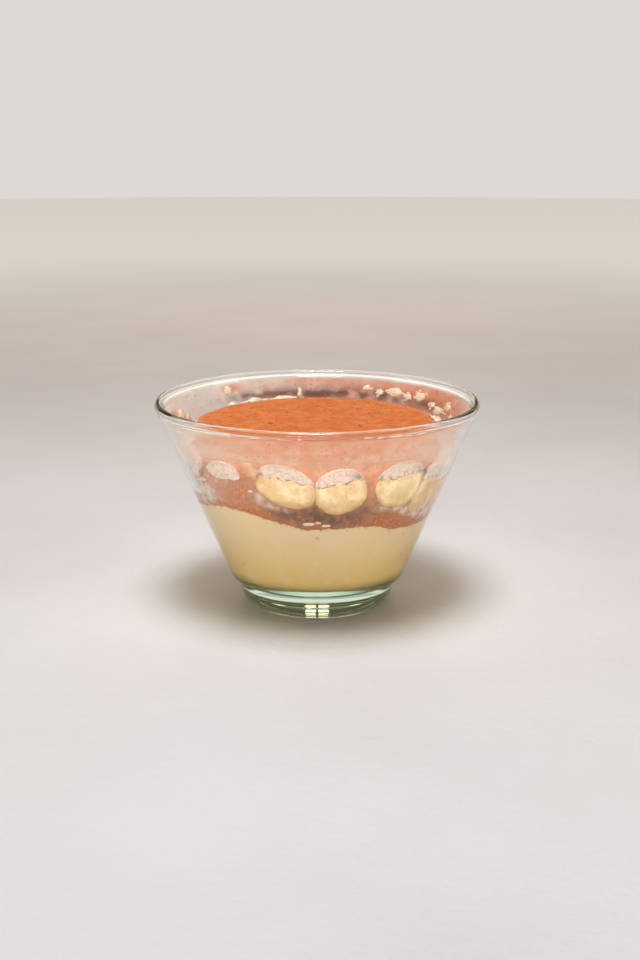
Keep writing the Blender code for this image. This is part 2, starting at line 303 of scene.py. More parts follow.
# ---- shader nodes ----------------------------------------------------------------------------------
class NodeSheet:
    """Adds and links the shader nodes of one tree."""

    def __init__(self, tree: bpy.types.NodeTree) -> None:
        """Work on this node tree."""
        self.tree = tree

    def add(self, kind: str, inputs: dict | None = None, **settings) -> bpy.types.Node:
        """Add a node.

        Args:
            kind: the node's type.
            inputs: plain values or sockets for its inputs, by name or number.
            **settings: the node's own properties.

        Returns:
            The node.
        """
        node = self.tree.nodes.new(kind)
        for key, value in settings.items():
            setattr(node, key, value)
        for key, value in (inputs or {}).items():
            if isinstance(value, bpy.types.NodeSocket):
                self.tree.links.new(value, node.inputs[key])
            else:
                node.inputs[key].default_value = value
        return node

    def math(self, operation: str, first: Value, second: Value = 0.0) -> Socket:
        """The result of a Math node."""
        node = self.add("ShaderNodeMath", {0: first, 1: second}, operation=operation)
        return node.outputs[0]

    def band(self, value: Value, low: float, high: float, to_low: float = 0.0,
             to_high: float = 1.0) -> Socket:
        """Map a value smoothly from low..high to to_low..to_high."""
        node = self.add("ShaderNodeMapRange", {
            "Value": value, "From Min": low, "From Max": high, "To Min": to_low,
            "To Max": to_high}, interpolation_type="SMOOTHSTEP")
        return node.outputs["Result"]

    def mix(self, mask: Value, under: Socket | Tone, over: Socket | Tone) -> Socket:
        """The colour under, covered by the colour over where mask is 1."""
        colours = [linear(c) if isinstance(c, tuple) else c for c in (under, over)]
        node = self.add("ShaderNodeMix", {0: mask, 6: colours[0], 7: colours[1]},
                        data_type="RGBA")
        return node.outputs[2]

    def mask(self, mask: Mask) -> Socket:
        """The value that the mesh carries under this mask's name."""
        return self.add("ShaderNodeAttribute", attribute_name=mask.value).outputs["Fac"]

    def place(self) -> Socket:
        """Position in the part's frame, in metres."""
        return self.add("ShaderNodeTexCoord").outputs["Object"]


@dataclass(frozen=True)
class GroupSocket:
    """One named input or output of a node group."""

    name: str
    kind: str = "NodeSocketFloat"
    default: float = 0.0


class EffectGroup:
    """A node group that is built once and placed in many materials."""

    title = "Effect"
    sockets: tuple[GroupSocket, ...] = ()
    output = "Mask"

    def __init__(self) -> None:
        """Make the group's tree, with its sockets, and fill it."""
        self.tree = bpy.data.node_groups.new(self.title, "ShaderNodeTree")
        self.tree.interface.new_socket("Vector", in_out="INPUT", socket_type="NodeSocketVector")
        for item in self.sockets:
            made = self.tree.interface.new_socket(item.name, in_out="INPUT", socket_type=item.kind)
            made.default_value = item.default
        self.tree.interface.new_socket(self.output, in_out="OUTPUT", socket_type="NodeSocketFloat")
        sheet = NodeSheet(self.tree)
        ports = sheet.add("NodeGroupInput").outputs
        sheet.add("NodeGroupOutput", {self.output: self.fill(sheet, ports)})

    def fill(self, sheet: NodeSheet, ports: bpy.types.NodeOutputs) -> Socket:
        """Add the group's nodes and return the socket of its result."""
        raise NotImplementedError

    def use(self, sheet: NodeSheet, **values: Value) -> Socket:
        """Place the group in a material.

        Args:
            sheet: the material's node sheet.
            **values: values or sockets for the group's inputs, with _ for a space in the name.

        Returns:
            The group's result.
        """
        inputs = {key.replace("_", " "): value for key, value in values.items()}
        inputs.setdefault("Vector", sheet.place())
        return sheet.add("ShaderNodeGroup", inputs, node_tree=self.tree).outputs[0]


class Speckle(EffectGroup):
    """Small round specks of powder or crumb, strewn evenly."""

    title = "Speckle"
    sockets = (GroupSocket("Size", default=0.001), GroupSocket("Share", default=0.3),
               GroupSocket("Radius", default=0.4))

    def fill(self, sheet: NodeSheet, ports: bpy.types.NodeOutputs) -> Socket:
        """A share of the cells of a cell pattern each hold one speck."""
        fine = sheet.math("DIVIDE", 1.0, ports["Size"])
        cells = sheet.add("ShaderNodeTexVoronoi", {"Vector": ports["Vector"], "Scale": fine})
        chance = sheet.add("ShaderNodeSeparateColor", {"Color": cells.outputs["Color"]})
        holds = sheet.math("LESS_THAN", chance.outputs["Red"], ports["Share"])
        inner = sheet.math("MULTIPLY", ports["Radius"], 0.5)
        near = sheet.add("ShaderNodeMapRange", {
            "Value": cells.outputs["Distance"], "From Min": inner, "From Max": ports["Radius"],
            "To Min": 1.0, "To Max": 0.0}, interpolation_type="SMOOTHSTEP")
        return sheet.math("MULTIPLY", holds, near.outputs["Result"])


class Mottle(EffectGroup):
    """Cloudy patches with soft edges."""

    title = "Mottle"
    sockets = (GroupSocket("Size", default=0.005), GroupSocket("Low", default=0.4),
               GroupSocket("High", default=0.6))

    def fill(self, sheet: NodeSheet, ports: bpy.types.NodeOutputs) -> Socket:
        """Noise, cut off softly below Low and above High."""
        fine = sheet.math("DIVIDE", 1.0, ports["Size"])
        cloud = sheet.add("ShaderNodeTexNoise", {
            "Vector": ports["Vector"], "Scale": fine, "Detail": 4.0, "Roughness": 0.55})
        cut = sheet.add("ShaderNodeMapRange", {
            "Value": cloud.outputs["Fac"], "From Min": ports["Low"], "From Max": ports["High"]},
            interpolation_type="SMOOTHSTEP")
        return cut.outputs["Result"]


class Grain(EffectGroup):
    """Height of a grainy surface: round grains over finer roughness."""

    title = "Grain"
    output = "Height"
    sockets = (GroupSocket("Size", default=0.001), GroupSocket("Roundness", default=0.5))

    def fill(self, sheet: NodeSheet, ports: bpy.types.NodeOutputs) -> Socket:
        """Cell domes mixed with noise."""
        fine = sheet.math("DIVIDE", 1.0, ports["Size"])
        cells = sheet.add("ShaderNodeTexVoronoi", {"Vector": ports["Vector"], "Scale": fine})
        finer = sheet.math("MULTIPLY", fine, 2.0)
        rough = sheet.add("ShaderNodeTexNoise", {
            "Vector": ports["Vector"], "Scale": finer, "Detail": 3.0})
        dome = sheet.math("SUBTRACT", 1.0, cells.outputs["Distance"])
        round_part = sheet.math("MULTIPLY", dome, ports["Roundness"])
        rest = sheet.math("SUBTRACT", 1.0, ports["Roundness"])
        rough_part = sheet.math("MULTIPLY", rough.outputs["Fac"], rest)
        return sheet.math("ADD", round_part, rough_part)


class Effects:
    """The effect groups that the finishes share."""

    def __init__(self) -> None:
        """Build each group once."""
        self.speckle = Speckle()
        self.mottle = Mottle()
        self.grain = Grain()


# ---- finishes --------------------------------------------------------------------------------------
class Finish:
    """A material with a Principled shader, whose colour and relief the subclass lays out."""

    title = "finish"
    roughness = 0.6
    specular = 0.5
    bump_depth = 0.0002
    subsurface = 0.0
    subsurface_radius = (0.004, 0.002, 0.001)

    def build(self, effects: Effects) -> bpy.types.Material:
        """Make the material from the shared effect groups."""
        material = bpy.data.materials.new(self.title)
        material.use_nodes = True
        sheet = NodeSheet(material.node_tree)
        shader = material.node_tree.nodes["Principled BSDF"]
        shader.inputs["Roughness"].default_value = self.roughness
        shader.inputs["Specular IOR Level"].default_value = self.specular
        if self.subsurface:
            shader.inputs["Subsurface Weight"].default_value = self.subsurface
            shader.inputs["Subsurface Radius"].default_value = self.subsurface_radius
            shader.inputs["Subsurface Scale"].default_value = 1.0
        links = material.node_tree.links
        links.new(self.colour(sheet, effects), shader.inputs["Base Color"])
        bump = sheet.add("ShaderNodeBump", {
            "Height": self.height(sheet, effects), "Distance": self.bump_depth})
        links.new(bump.outputs["Normal"], shader.inputs["Normal"])
        self.finish_off(sheet, effects, shader)
        return material

    def colour(self, sheet: NodeSheet, effects: Effects) -> Socket:
        """The base colour."""
        raise NotImplementedError

    def height(self, sheet: NodeSheet, effects: Effects) -> Socket:
        """The fine relief, 0 to 1."""
        raise NotImplementedError

    def finish_off(self, sheet: NodeSheet, effects: Effects, shader: bpy.types.Node) -> None:
        """Anything else that this finish sets on its shader."""


@dataclass(frozen=True)
class ClearGlass:
    """Clear pressed soda glass, faintly green where it is thick. Lamps light what is in it."""

    title: str = "clear_glass"
    roughness: float = 0.0
    ior: float = 1.5
    tint: tuple[float, float, float, float] = (0.40, 0.75, 0.58, 1.0)
    density: float = 15.0
    straight: Tone = (251, 252, 251)        # what lamps keep when they meet it head on
    grazing: Tone = (204, 202, 192)         # and when they graze it

    def build(self) -> bpy.types.Material:
        """Make the glass: it bends light, and lets the light of lamps straight through."""
        material = bpy.data.materials.new(self.title)
        material.use_nodes = True
        sheet = NodeSheet(material.node_tree)
        glass = material.node_tree.nodes["Principled BSDF"]
        glass.inputs["Base Color"].default_value = (1.0, 1.0, 1.0, 1.0)
        glass.inputs["Roughness"].default_value = self.roughness
        glass.inputs["IOR"].default_value = self.ior
        glass.inputs["Metallic"].default_value = 0.0
        glass.inputs["Transmission Weight"].default_value = 1.0
        facing = sheet.add("ShaderNodeLayerWeight", {"Blend": 0.5}).outputs["Facing"]
        dim = sheet.mix(sheet.band(facing, 0.30, 0.66), self.straight, self.grazing)
        through = sheet.add("ShaderNodeBsdfTransparent", {"Color": dim})
        path = sheet.add("ShaderNodeLightPath")
        mixed = sheet.add("ShaderNodeMixShader", {
            0: path.outputs["Is Shadow Ray"], 1: glass.outputs[0], 2: through.outputs[0]})
        absorb = sheet.add("ShaderNodeVolumeAbsorption", {
            "Color": self.tint, "Density": self.density})
        output = material.node_tree.nodes["Material Output"]
        material.node_tree.links.new(mixed.outputs[0], output.inputs["Surface"])
        material.node_tree.links.new(absorb.outputs[0], output.inputs["Volume"])
        return material


class CreamFinish(Finish):
    """Pale yellow set cream, smooth and moist, a little deeper in colour low down."""

    title = "set_cream"
    roughness = 0.42
    bump_depth = 0.00008
    subsurface = 0.0
    upper: Tone = (231, 202, 157)
    lower: Tone = (224, 189, 117)
    cloud: Tone = (235, 208, 170)
    fleck: Tone = (190, 150, 84)

    def colour(self, sheet: NodeSheet, effects: Effects) -> Socket:
        """A slow change of colour with height, faint clouds and a few flecks."""
        ground = sheet.mix(sheet.mask(Mask.RISE), self.lower, self.upper)
        clouds = effects.mottle.use(sheet, Size=0.011, Low=0.48, High=0.72)
        ground = sheet.mix(sheet.math("MULTIPLY", clouds, 0.45), ground, self.cloud)
        flecks = effects.speckle.use(sheet, Size=0.0042, Share=0.05, Radius=0.22)
        return sheet.mix(sheet.math("MULTIPLY", flecks, 0.45), ground, self.fleck)

    def height(self, sheet: NodeSheet, effects: Effects) -> Socket:
        """A barely uneven surface."""
        return effects.mottle.use(sheet, Size=0.0016, Low=0.3, High=0.7)


class SoakedFinish(Finish):
    """Coffee-soaked cocoa, mottled from purple-brown to orange-brown, with pale films."""

    title = "soaked_cocoa"
    roughness = 0.55
    bump_depth = 0.00012
    plain: Tone = (153, 92, 50)
    light: Tone = (180, 114, 64)
    deep: Tone = (88, 60, 52)
    powder: Tone = (178, 92, 26)
    bright: Tone = (218, 130, 44)
    haze: Tone = (228, 206, 190)
    speck: Tone = (84, 52, 44)

    def colour(self, sheet: NodeSheet, effects: Effects) -> Socket:
        """Paste, dark soaked zones, powder, films and specks, one over the other."""
        clouds = effects.mottle.use(sheet, Size=0.0035, Low=0.40, High=0.64)
        ground = sheet.mix(clouds, self.plain, self.light)
        streaks = effects.mottle.use(sheet, Size=0.0022, Low=0.30, High=0.62)
        deep = sheet.math("MULTIPLY", sheet.mask(Mask.DEEP), streaks)
        ground = sheet.mix(deep, ground, self.deep)
        ragged = effects.mottle.use(sheet, Size=0.0012, Low=0.25, High=0.75)
        dry = sheet.math("ADD", sheet.mask(Mask.POWDER), sheet.math("SUBTRACT", ragged, 0.5))
        dry = sheet.band(dry, 0.28, 0.78)
        grains = effects.speckle.use(sheet, Size=0.0009, Share=0.45, Radius=0.55)
        powder = sheet.mix(grains, self.powder, self.bright)
        ground = sheet.mix(dry, ground, powder)
        blend = sheet.math("ADD", sheet.mask(Mask.SEAM), sheet.math("SUBTRACT", ragged, 0.5))
        ground = sheet.mix(sheet.band(blend, 0.2, 1.1), ground, JOIN)
        veil = effects.mottle.use(sheet, Size=0.0025, Low=0.22, High=0.68)
        veil = sheet.math("MULTIPLY", sheet.band(sheet.mask(Mask.HAZE), 0.0, 0.75), veil)
        ground = sheet.mix(veil, ground, self.haze)
        specks = effects.speckle.use(sheet, Size=0.0011, Share=0.16, Radius=0.38)
        return sheet.mix(sheet.math("MULTIPLY", specks, 0.6), ground, self.speck)

    def height(self, sheet: NodeSheet, effects: Effects) -> Socket:
        """Damp grains."""
        return effects.grain.use(sheet, Size=0.0008, Roundness=0.6)


class StainedFinish(Finish):
    """Cream stained salmon by cocoa, finely speckled."""

    title = "stained_cream"
    roughness = 0.62
    bump_depth = 0.00018
    plain: Tone = (214, 136, 99)
    light: Tone = (224, 156, 118)
    shade: Tone = (194, 110, 72)
    cream: Tone = (240, 208, 160)
    dark_speck: Tone = (138, 78, 56)
    warm_speck: Tone = (240, 176, 110)
    powder: Tone = (206, 118, 74)

    def colour(self, sheet: NodeSheet, effects: Effects) -> Socket:
        """Salmon clouds, brown towards the layer below, cream streaks and two kinds of specks."""
        clouds = effects.mottle.use(sheet, Size=0.006, Low=0.38, High=0.66)
        ground = sheet.mix(clouds, self.plain, self.light)
        dull = effects.mottle.use(sheet, Size=0.0018, Low=0.52, High=0.74)
        ground = sheet.mix(sheet.math("MULTIPLY", dull, 0.6), ground, self.shade)
        ragged = effects.mottle.use(sheet, Size=0.0012, Low=0.25, High=0.75)
        blend = sheet.math("ADD", sheet.mask(Mask.SEAM), sheet.math("SUBTRACT", ragged, 0.5))
        ground = sheet.mix(sheet.band(blend, 0.0, 1.1), ground, JOIN)
        dusted = sheet.math("ADD", sheet.mask(Mask.POWDER), sheet.math("SUBTRACT", ragged, 0.5))
        ground = sheet.mix(sheet.band(dusted, 0.1, 1.0), ground, self.powder)
        fray = effects.mottle.use(sheet, Size=0.0014, Low=0.30, High=0.62)
        streak = sheet.math("MULTIPLY", sheet.mask(Mask.PALE), fray)
        ground = sheet.mix(streak, ground, self.cream)
        warm = effects.speckle.use(sheet, Size=0.0013, Share=0.14, Radius=0.42)
        ground = sheet.mix(sheet.math("MULTIPLY", warm, 0.55), ground, self.warm_speck)
        dark = effects.speckle.use(sheet, Size=0.0010, Share=0.12, Radius=0.36)
        return sheet.mix(sheet.math("MULTIPLY", dark, 0.62), ground, self.dark_speck)

    def height(self, sheet: NodeSheet, effects: Effects) -> Socket:
        """Powder set into soft cream."""
        return effects.grain.use(sheet, Size=0.0009, Roundness=0.45)


class SpongeFinish(Finish):
    """Pale yellow sponge crumb under a cracked white sugar crust."""

    title = "ladyfinger_sponge"
    roughness = 0.8
    specular = 0.3
    bump_depth = 0.00020
    crumb: Tone = (224, 184, 130)
    core: Tone = (242, 213, 166)
    toast: Tone = (208, 154, 96)
    crust: Tone = (228, 199, 180)
    crust_shade: Tone = (196, 164, 148)
    # painted shade: the dark in the crust's cracks and in the crinkle under its edge
    crack_shade: Tone = (122, 96, 88)
    # soaked stains, and also painted shade round the rim of each end
    stain_and_edge_shade: Tone = (146, 112, 104)
    # painted shade: darker dots for the shade inside the crumb's pores
    pore_shade: Tone = (190, 150, 92)

    def colour(self, sheet: NodeSheet, effects: Effects) -> Socket:
        """Golden-edged crumb, stains, crust, and painted shade in pores, cracks and end rims."""
        clouds = effects.mottle.use(sheet, Size=0.0042, Low=0.40, High=0.66)
        crumb = sheet.mix(clouds, self.crumb, self.core)
        crumb = sheet.mix(sheet.mask(Mask.TOAST), crumb, self.toast)
        # painted shade in the pores of the crumb
        pores = effects.speckle.use(sheet, Size=0.0016, Share=0.14, Radius=0.30)
        crumb = sheet.mix(sheet.math("MULTIPLY", pores, 0.5), crumb, self.pore_shade)
        sugar = effects.mottle.use(sheet, Size=0.0013, Low=0.44, High=0.66)
        crust = sheet.mix(sheet.math("MULTIPLY", sugar, 0.7), self.crust, self.crust_shade)
        whole = sheet.mix(sheet.mask(Mask.CRUST), crumb, crust)
        # painted shade in the cracks and in the crinkle under the crust's edge
        whole = sheet.mix(sheet.mask(Mask.CRACK_SHADE), whole, self.crack_shade)
        fray = effects.mottle.use(sheet, Size=0.0016, Low=0.25, High=0.60)
        # soaked stains, and painted shade round the rim of each end
        soaked = sheet.math("MULTIPLY", sheet.mask(Mask.STAIN_AND_EDGE_SHADE), fray)
        return sheet.mix(soaked, whole, self.stain_and_edge_shade)

    def height(self, sheet: NodeSheet, effects: Effects) -> Socket:
        """Open crumb and sugar grains."""
        return effects.grain.use(sheet, Size=0.0007, Roundness=0.5)


class PowderFinish(Finish):
    """Dry sifted cocoa powder, matte and slightly lumpy."""

    title = "cocoa_powder"
    roughness = 0.95
    specular = 0.15
    bump_depth = 0.00025
    plain: Tone = (206, 111, 57)
    light: Tone = (218, 128, 69)
    shade: Tone = (188, 94, 45)
    thin: Tone = (216, 136, 92)         # where it is thin over cream
    clot: Tone = (128, 58, 34)

    def colour(self, sheet: NodeSheet, effects: Effects) -> Socket:
        """Soft lighter and darker fields with a few dark clots."""
        clouds = effects.mottle.use(sheet, Size=0.005, Low=0.38, High=0.64)
        ground = sheet.mix(clouds, self.plain, self.light)
        dull = effects.mottle.use(sheet, Size=0.0018, Low=0.46, High=0.72)
        ground = sheet.mix(sheet.math("MULTIPLY", dull, 0.6), ground, self.shade)
        fine = effects.speckle.use(sheet, Size=0.0010, Share=0.35, Radius=0.5)
        ground = sheet.mix(sheet.math("MULTIPLY", fine, 0.5), ground, self.shade)
        dark = effects.speckle.use(sheet, Size=0.0026, Share=0.22, Radius=0.26)
        ground = sheet.mix(sheet.math("MULTIPLY", dark, 0.55), ground, self.clot)
        ragged = effects.mottle.use(sheet, Size=0.0012, Low=0.25, High=0.75)
        blend = sheet.math("ADD", sheet.mask(Mask.SEAM), sheet.math("SUBTRACT", ragged, 0.5))
        ground = sheet.mix(sheet.band(blend, 0.0, 1.1), ground, self.thin)
        return sheet.mix(sheet.mask(Mask.DEEP), ground, self.clot)

    def height(self, sheet: NodeSheet, effects: Effects) -> Socket:
        """Fine powder."""
        return effects.grain.use(sheet, Size=0.0006, Roundness=0.5)


class SmearFinish(Finish):
    """Thin smears and beads of plain cream that stick to the glass."""

    title = "cream_smear"
    roughness = 0.38
    bump_depth = 0.0001
    plain: Tone = (240, 216, 188)
    tinted: Tone = (222, 170, 130)

    def colour(self, sheet: NodeSheet, effects: Effects) -> Socket:
        """Cream, tinted by a little cocoa in places."""
        clouds = effects.mottle.use(sheet, Size=0.0030, Low=0.45, High=0.70)
        return sheet.mix(sheet.math("MULTIPLY", clouds, 0.7), self.plain, self.tinted)

    def height(self, sheet: NodeSheet, effects: Effects) -> Socket:
        """Soft ripples."""
        return effects.mottle.use(sheet, Size=0.0012, Low=0.3, High=0.7)


class FilmFinish(Finish):
    """A breath of cocoa dust on the inner wall above the contents, clear where there is none."""

    title = "cocoa_film"
    roughness = 0.7
    specular = 0.2
    bump_depth = 0.00002
    pale: Tone = (252, 230, 210)
    warm: Tone = (210, 133, 92)
    # painted shade: the shadowed gap behind the pile, as a dark band of film
    gap_shade: Tone = (104, 66, 54)
    grain: Tone = (150, 84, 56)
    grain_strength = 0.80
    thickest = 0.94

    def colour(self, sheet: NodeSheet, effects: Effects) -> Socket:
        """Pale dust, warmer in smudges, and dark with painted shade above the pile at the back."""
        smudges = effects.mottle.use(sheet, Size=0.0045, Low=0.30, High=0.70)
        smudges = sheet.band(smudges, 0.0, 1.0, -0.12, 0.12)
        smudges = sheet.math("ADD", sheet.mask(Mask.POWDER), smudges)
        ground = sheet.mix(sheet.band(smudges, 0.0, 1.0), self.pale, self.warm)
        grains = effects.speckle.use(sheet, Size=0.0013, Share=0.34, Radius=0.36)
        grains = sheet.math("MULTIPLY", grains, sheet.mask(Mask.POWDER))
        ground = sheet.mix(sheet.math("MULTIPLY", grains, self.grain_strength), ground, self.grain)
        # painted shade: the dark band above the pile at the back
        return sheet.mix(sheet.mask(Mask.GAP_SHADE), ground, self.gap_shade)

    def height(self, sheet: NodeSheet, effects: Effects) -> Socket:
        """Dust."""
        return effects.grain.use(sheet, Size=0.0008, Roundness=0.5)

    def finish_off(self, sheet: NodeSheet, effects: Effects, shader: bpy.types.Node) -> None:
        """Let the glass show through where the film is thin."""
        uneven = effects.mottle.use(sheet, Size=0.0045, Low=0.15, High=0.80)
        uneven = sheet.band(uneven, 0.0, 1.0, 0.84, 1.08)
        cover = sheet.math("MULTIPLY", sheet.mask(Mask.FILM), uneven)
        cover = sheet.math("MINIMUM", cover, self.thickest)
        sheet.tree.links.new(cover, shader.inputs["Alpha"])


class FloorFinish(Finish):
    """Plain pale studio floor."""

    title = "pale_floor"
    roughness = 0.55
    specular = 0.35
    bump_depth = 0.0001
    plain: Tone = (226, 222, 220)
    cloud: Tone = (220, 215, 213)
    glow: Tone = (188, 183, 178)    # evens out the light far from the lamps
    glow_near = 0.35                # metres from the bowl
    glow_far = 1.50

    def colour(self, sheet: NodeSheet, effects: Effects) -> Socket:
        """Almost even."""
        return sheet.mix(effects.mottle.use(sheet, Size=0.12, Low=0.3, High=0.7),
                         self.plain, self.cloud)

    def height(self, sheet: NodeSheet, effects: Effects) -> Socket:
        """A fine tooth."""
        return effects.mottle.use(sheet, Size=0.004, Low=0.3, High=0.7)

    def finish_off(self, sheet: NodeSheet, effects: Effects, shader: bpy.types.Node) -> None:
        """Keep the floor as pale far away as it is near the bowl."""
        away = sheet.add("ShaderNodeVectorMath", {0: sheet.place()}, operation="LENGTH")
        far = sheet.band(away.outputs["Value"], self.glow_near, self.glow_far)
        glow = sheet.mix(far, (0, 0, 0), self.glow)
        sheet.tree.links.new(glow, shader.inputs["Emission Color"])
        shader.inputs["Emission Strength"].default_value = 1.0


# ---- the bowl --------------------------------------------------------------------------------------
@dataclass(frozen=True)
class GlassBowl:
    """The conical bowl with its rounded rim and its thick round foot."""

    height: float
    rim_radius: float
    bead_radius: float = 0.00135
    bead_arc: tuple[float, float] = (-34.0, 202.0)
    wall_slope: float = 0.4174
    wall_end_z: float = 0.0122
    wall_end_radius: float = 0.0331
    wall_thickness: float = 0.0028
    ledge_z: float = 0.0102
    ledge_inner_radius: float = 0.0304
    bulge_z: float = 0.0062
    bulge_radius: float = 0.0289
    contact_radius: float = 0.0246
    punt_radius: float = 0.0215
    punt_depth: float = 0.0009
    floor_z: float = 0.0130
    floor_corner: float = 0.0038
    segments: int = 256

    def wall_radius(self, z: np.ndarray) -> np.ndarray:
        """Inner radius of the wall at height z, above the rounded corner of the floor."""
        across = self.wall_thickness * math.hypot(1.0, self.wall_slope)
        return self.wall_end_radius + self.wall_slope * (z - self.wall_end_z) - across

    def cavity_radius(self, z: np.ndarray) -> np.ndarray:
        """Inner radius of the bowl at height z, with the floor's rounded corner."""
        corner = self.floor_corner
        below = np.clip(self.floor_z + corner - np.asarray(z, float), 0.0, corner)
        return self.wall_radius(z) - (corner - np.sqrt(corner ** 2 - below ** 2))

    def foot_profile(self) -> list[tuple[float, float]]:
        """The hollowed underside, the flat ring and the rounded foot, up to the ledge."""
        bare = [(share * self.punt_radius, self.punt_depth * math.sqrt(1.0 - share ** 2))
                for share in np.linspace(0.02, 1.0, 14)]
        for turn in np.linspace(0.0, math.pi / 2, 14):
            bulge = self.bulge_radius - self.contact_radius
            bare.append((self.contact_radius + bulge * math.sin(turn),
                         self.bulge_z * (1.0 - math.cos(turn))))
        for share in (0.3, 0.6, 0.85, 0.95):
            bare.append((self.bulge_radius + share * (self.ledge_inner_radius - self.bulge_radius),
                         self.bulge_z + share * (self.ledge_z - self.bulge_z)))
        bare.append((self.ledge_inner_radius + 0.00015, self.ledge_z))
        return bare

    def wall_profile(self) -> list[tuple[float, float]]:
        """The wall's rounded lower end, the rim bead, the inner wall and the floor."""
        round_end = self.wall_end_z - self.ledge_z
        bare = arc_points((self.wall_end_radius - round_end, self.wall_end_z), round_end,
                          -90, -22, 10)
        centre = (self.rim_radius - self.bead_radius, self.height - self.bead_radius)
        bare += arc_points(centre, self.bead_radius, *self.bead_arc, 28)
        bare += [(float(self.wall_radius(z)), z)
                 for z in np.linspace(self.height * 0.93, self.floor_z + self.floor_corner, 24)]
        for turn in np.linspace(math.pi / 2, 0.0, 13)[1:]:
            z = self.floor_z + self.floor_corner * (1.0 - math.cos(turn))
            bare.append((float(self.cavity_radius(z)), z))
        edge = float(self.cavity_radius(self.floor_z))
        bare += [(edge * share, self.floor_z) for share in (0.8, 0.5, 0.2)]
        return bare

    def build(self) -> None:
        """Turn the profile about the axis and dress it in glass."""
        profile = np.array(self.foot_profile() + self.wall_profile())
        azimuth = np.arange(self.segments) * 360.0 / self.segments
        rings = on_circle(profile[:, :1], azimuth[None, :], profile[:, 1:])
        install(closed_skin("clear_bowl", rings), ClearGlass().build(), Slot.GLASS,
                ["glass_bowl"])


# ---- the layers ------------------------------------------------------------------------------------
@dataclass(frozen=True)
class Strata:
    """Where the layers meet each other, the glass and the air around the upper pile."""

    bowl: GlassBowl
    pile_top: float
    cream_level: float = 0.0406
    cocoa_level: float = 0.0525
    swell_reach: float = 0.0440
    pile_radius: float = 0.0458
    pile_waves: tuple[tuple[int, float, float], ...] = ((3, 0.7, 0.0005), (7, 2.0, 0.0003))
    top_rounding: float = 0.0026
    easing: float = 0.0018          # how softly the side leaves the glass
    segments: int = 640
    cream_swells: tuple[Swell, ...] = (
        Swell(-42, 26, 0.0049), Swell(-3, 13, -0.0013), Swell(56, 22, -0.0049),
        Swell(38, 4, -0.0014), Swell(84, 18, -0.0022), Swell(118, 26, 0.0016),
        Swell(180, 24, -0.0014), Swell(-112, 22, -0.0018))
    cocoa_swells: tuple[Swell, ...] = (
        Swell(-32, 10, 0.0042), Swell(-60, 14, -0.0010), Swell(0, 9, 0.0006),
        Swell(31, 9, -0.0016), Swell(21, 5, 0.0022), Swell(95, 24, 0.0020), Swell(150, 20, -0.0026),
        Swell(-150, 22, 0.0018))

    @property
    def azimuths(self) -> np.ndarray:
        """The azimuths of a layer's points, in degrees."""
        return np.arange(self.segments) * 360.0 / self.segments

    def free_radius(self, z: np.ndarray, azimuth: np.ndarray) -> np.ndarray:
        """Radius of the upper pile, with its waves and its rounded shoulder."""
        angle = np.radians(azimuth)
        waves = sum(depth * np.sin(count * angle + phase)
                    for count, phase, depth in self.pile_waves)
        shoulder = np.clip(z - (self.pile_top - self.top_rounding), 0.0, self.top_rounding)
        drop = self.top_rounding - np.sqrt(self.top_rounding ** 2 - shoulder ** 2)
        return self.pile_radius + waves - drop

    def outline(self, z: np.ndarray, azimuth: np.ndarray, press: float) -> np.ndarray:
        """Radius of the contents: press past the inside of the glass, or free of it higher up."""
        return soft_minimum(self.bowl.cavity_radius(z) + press, self.free_radius(z, azimuth),
                            self.easing)

    def edge(self, level: float, swells: Sequence[Swell]) -> np.ndarray:
        """Height at which a wavy boundary meets the outline, at each azimuth."""
        azimuth = self.azimuths
        swell = sum(item.height(azimuth) for item in swells)
        radius = np.full(self.segments, self.swell_reach)
        for _ in range(8):
            reach = np.minimum(radius / self.swell_reach, 1.0)
            height = level + reach ** 2 * swell
            radius = self.outline(height, azimuth, 0.0)
        return height

    def cream_edge(self) -> np.ndarray:
        """Top of the bottom cream at the glass."""
        return self.edge(self.cream_level, self.cream_swells)

    def cocoa_edge(self) -> np.ndarray:
        """Top of the soaked cocoa at the outline."""
        return self.edge(self.cocoa_level, self.cocoa_swells)

    def free_share(self, z: np.ndarray, azimuth: np.ndarray) -> np.ndarray:
        """0 where the contents lie on the glass, 1 where air is around them."""
        room = self.bowl.cavity_radius(z) - self.free_radius(z, azimuth)
        return smooth_step(0.0, 0.0012, room)


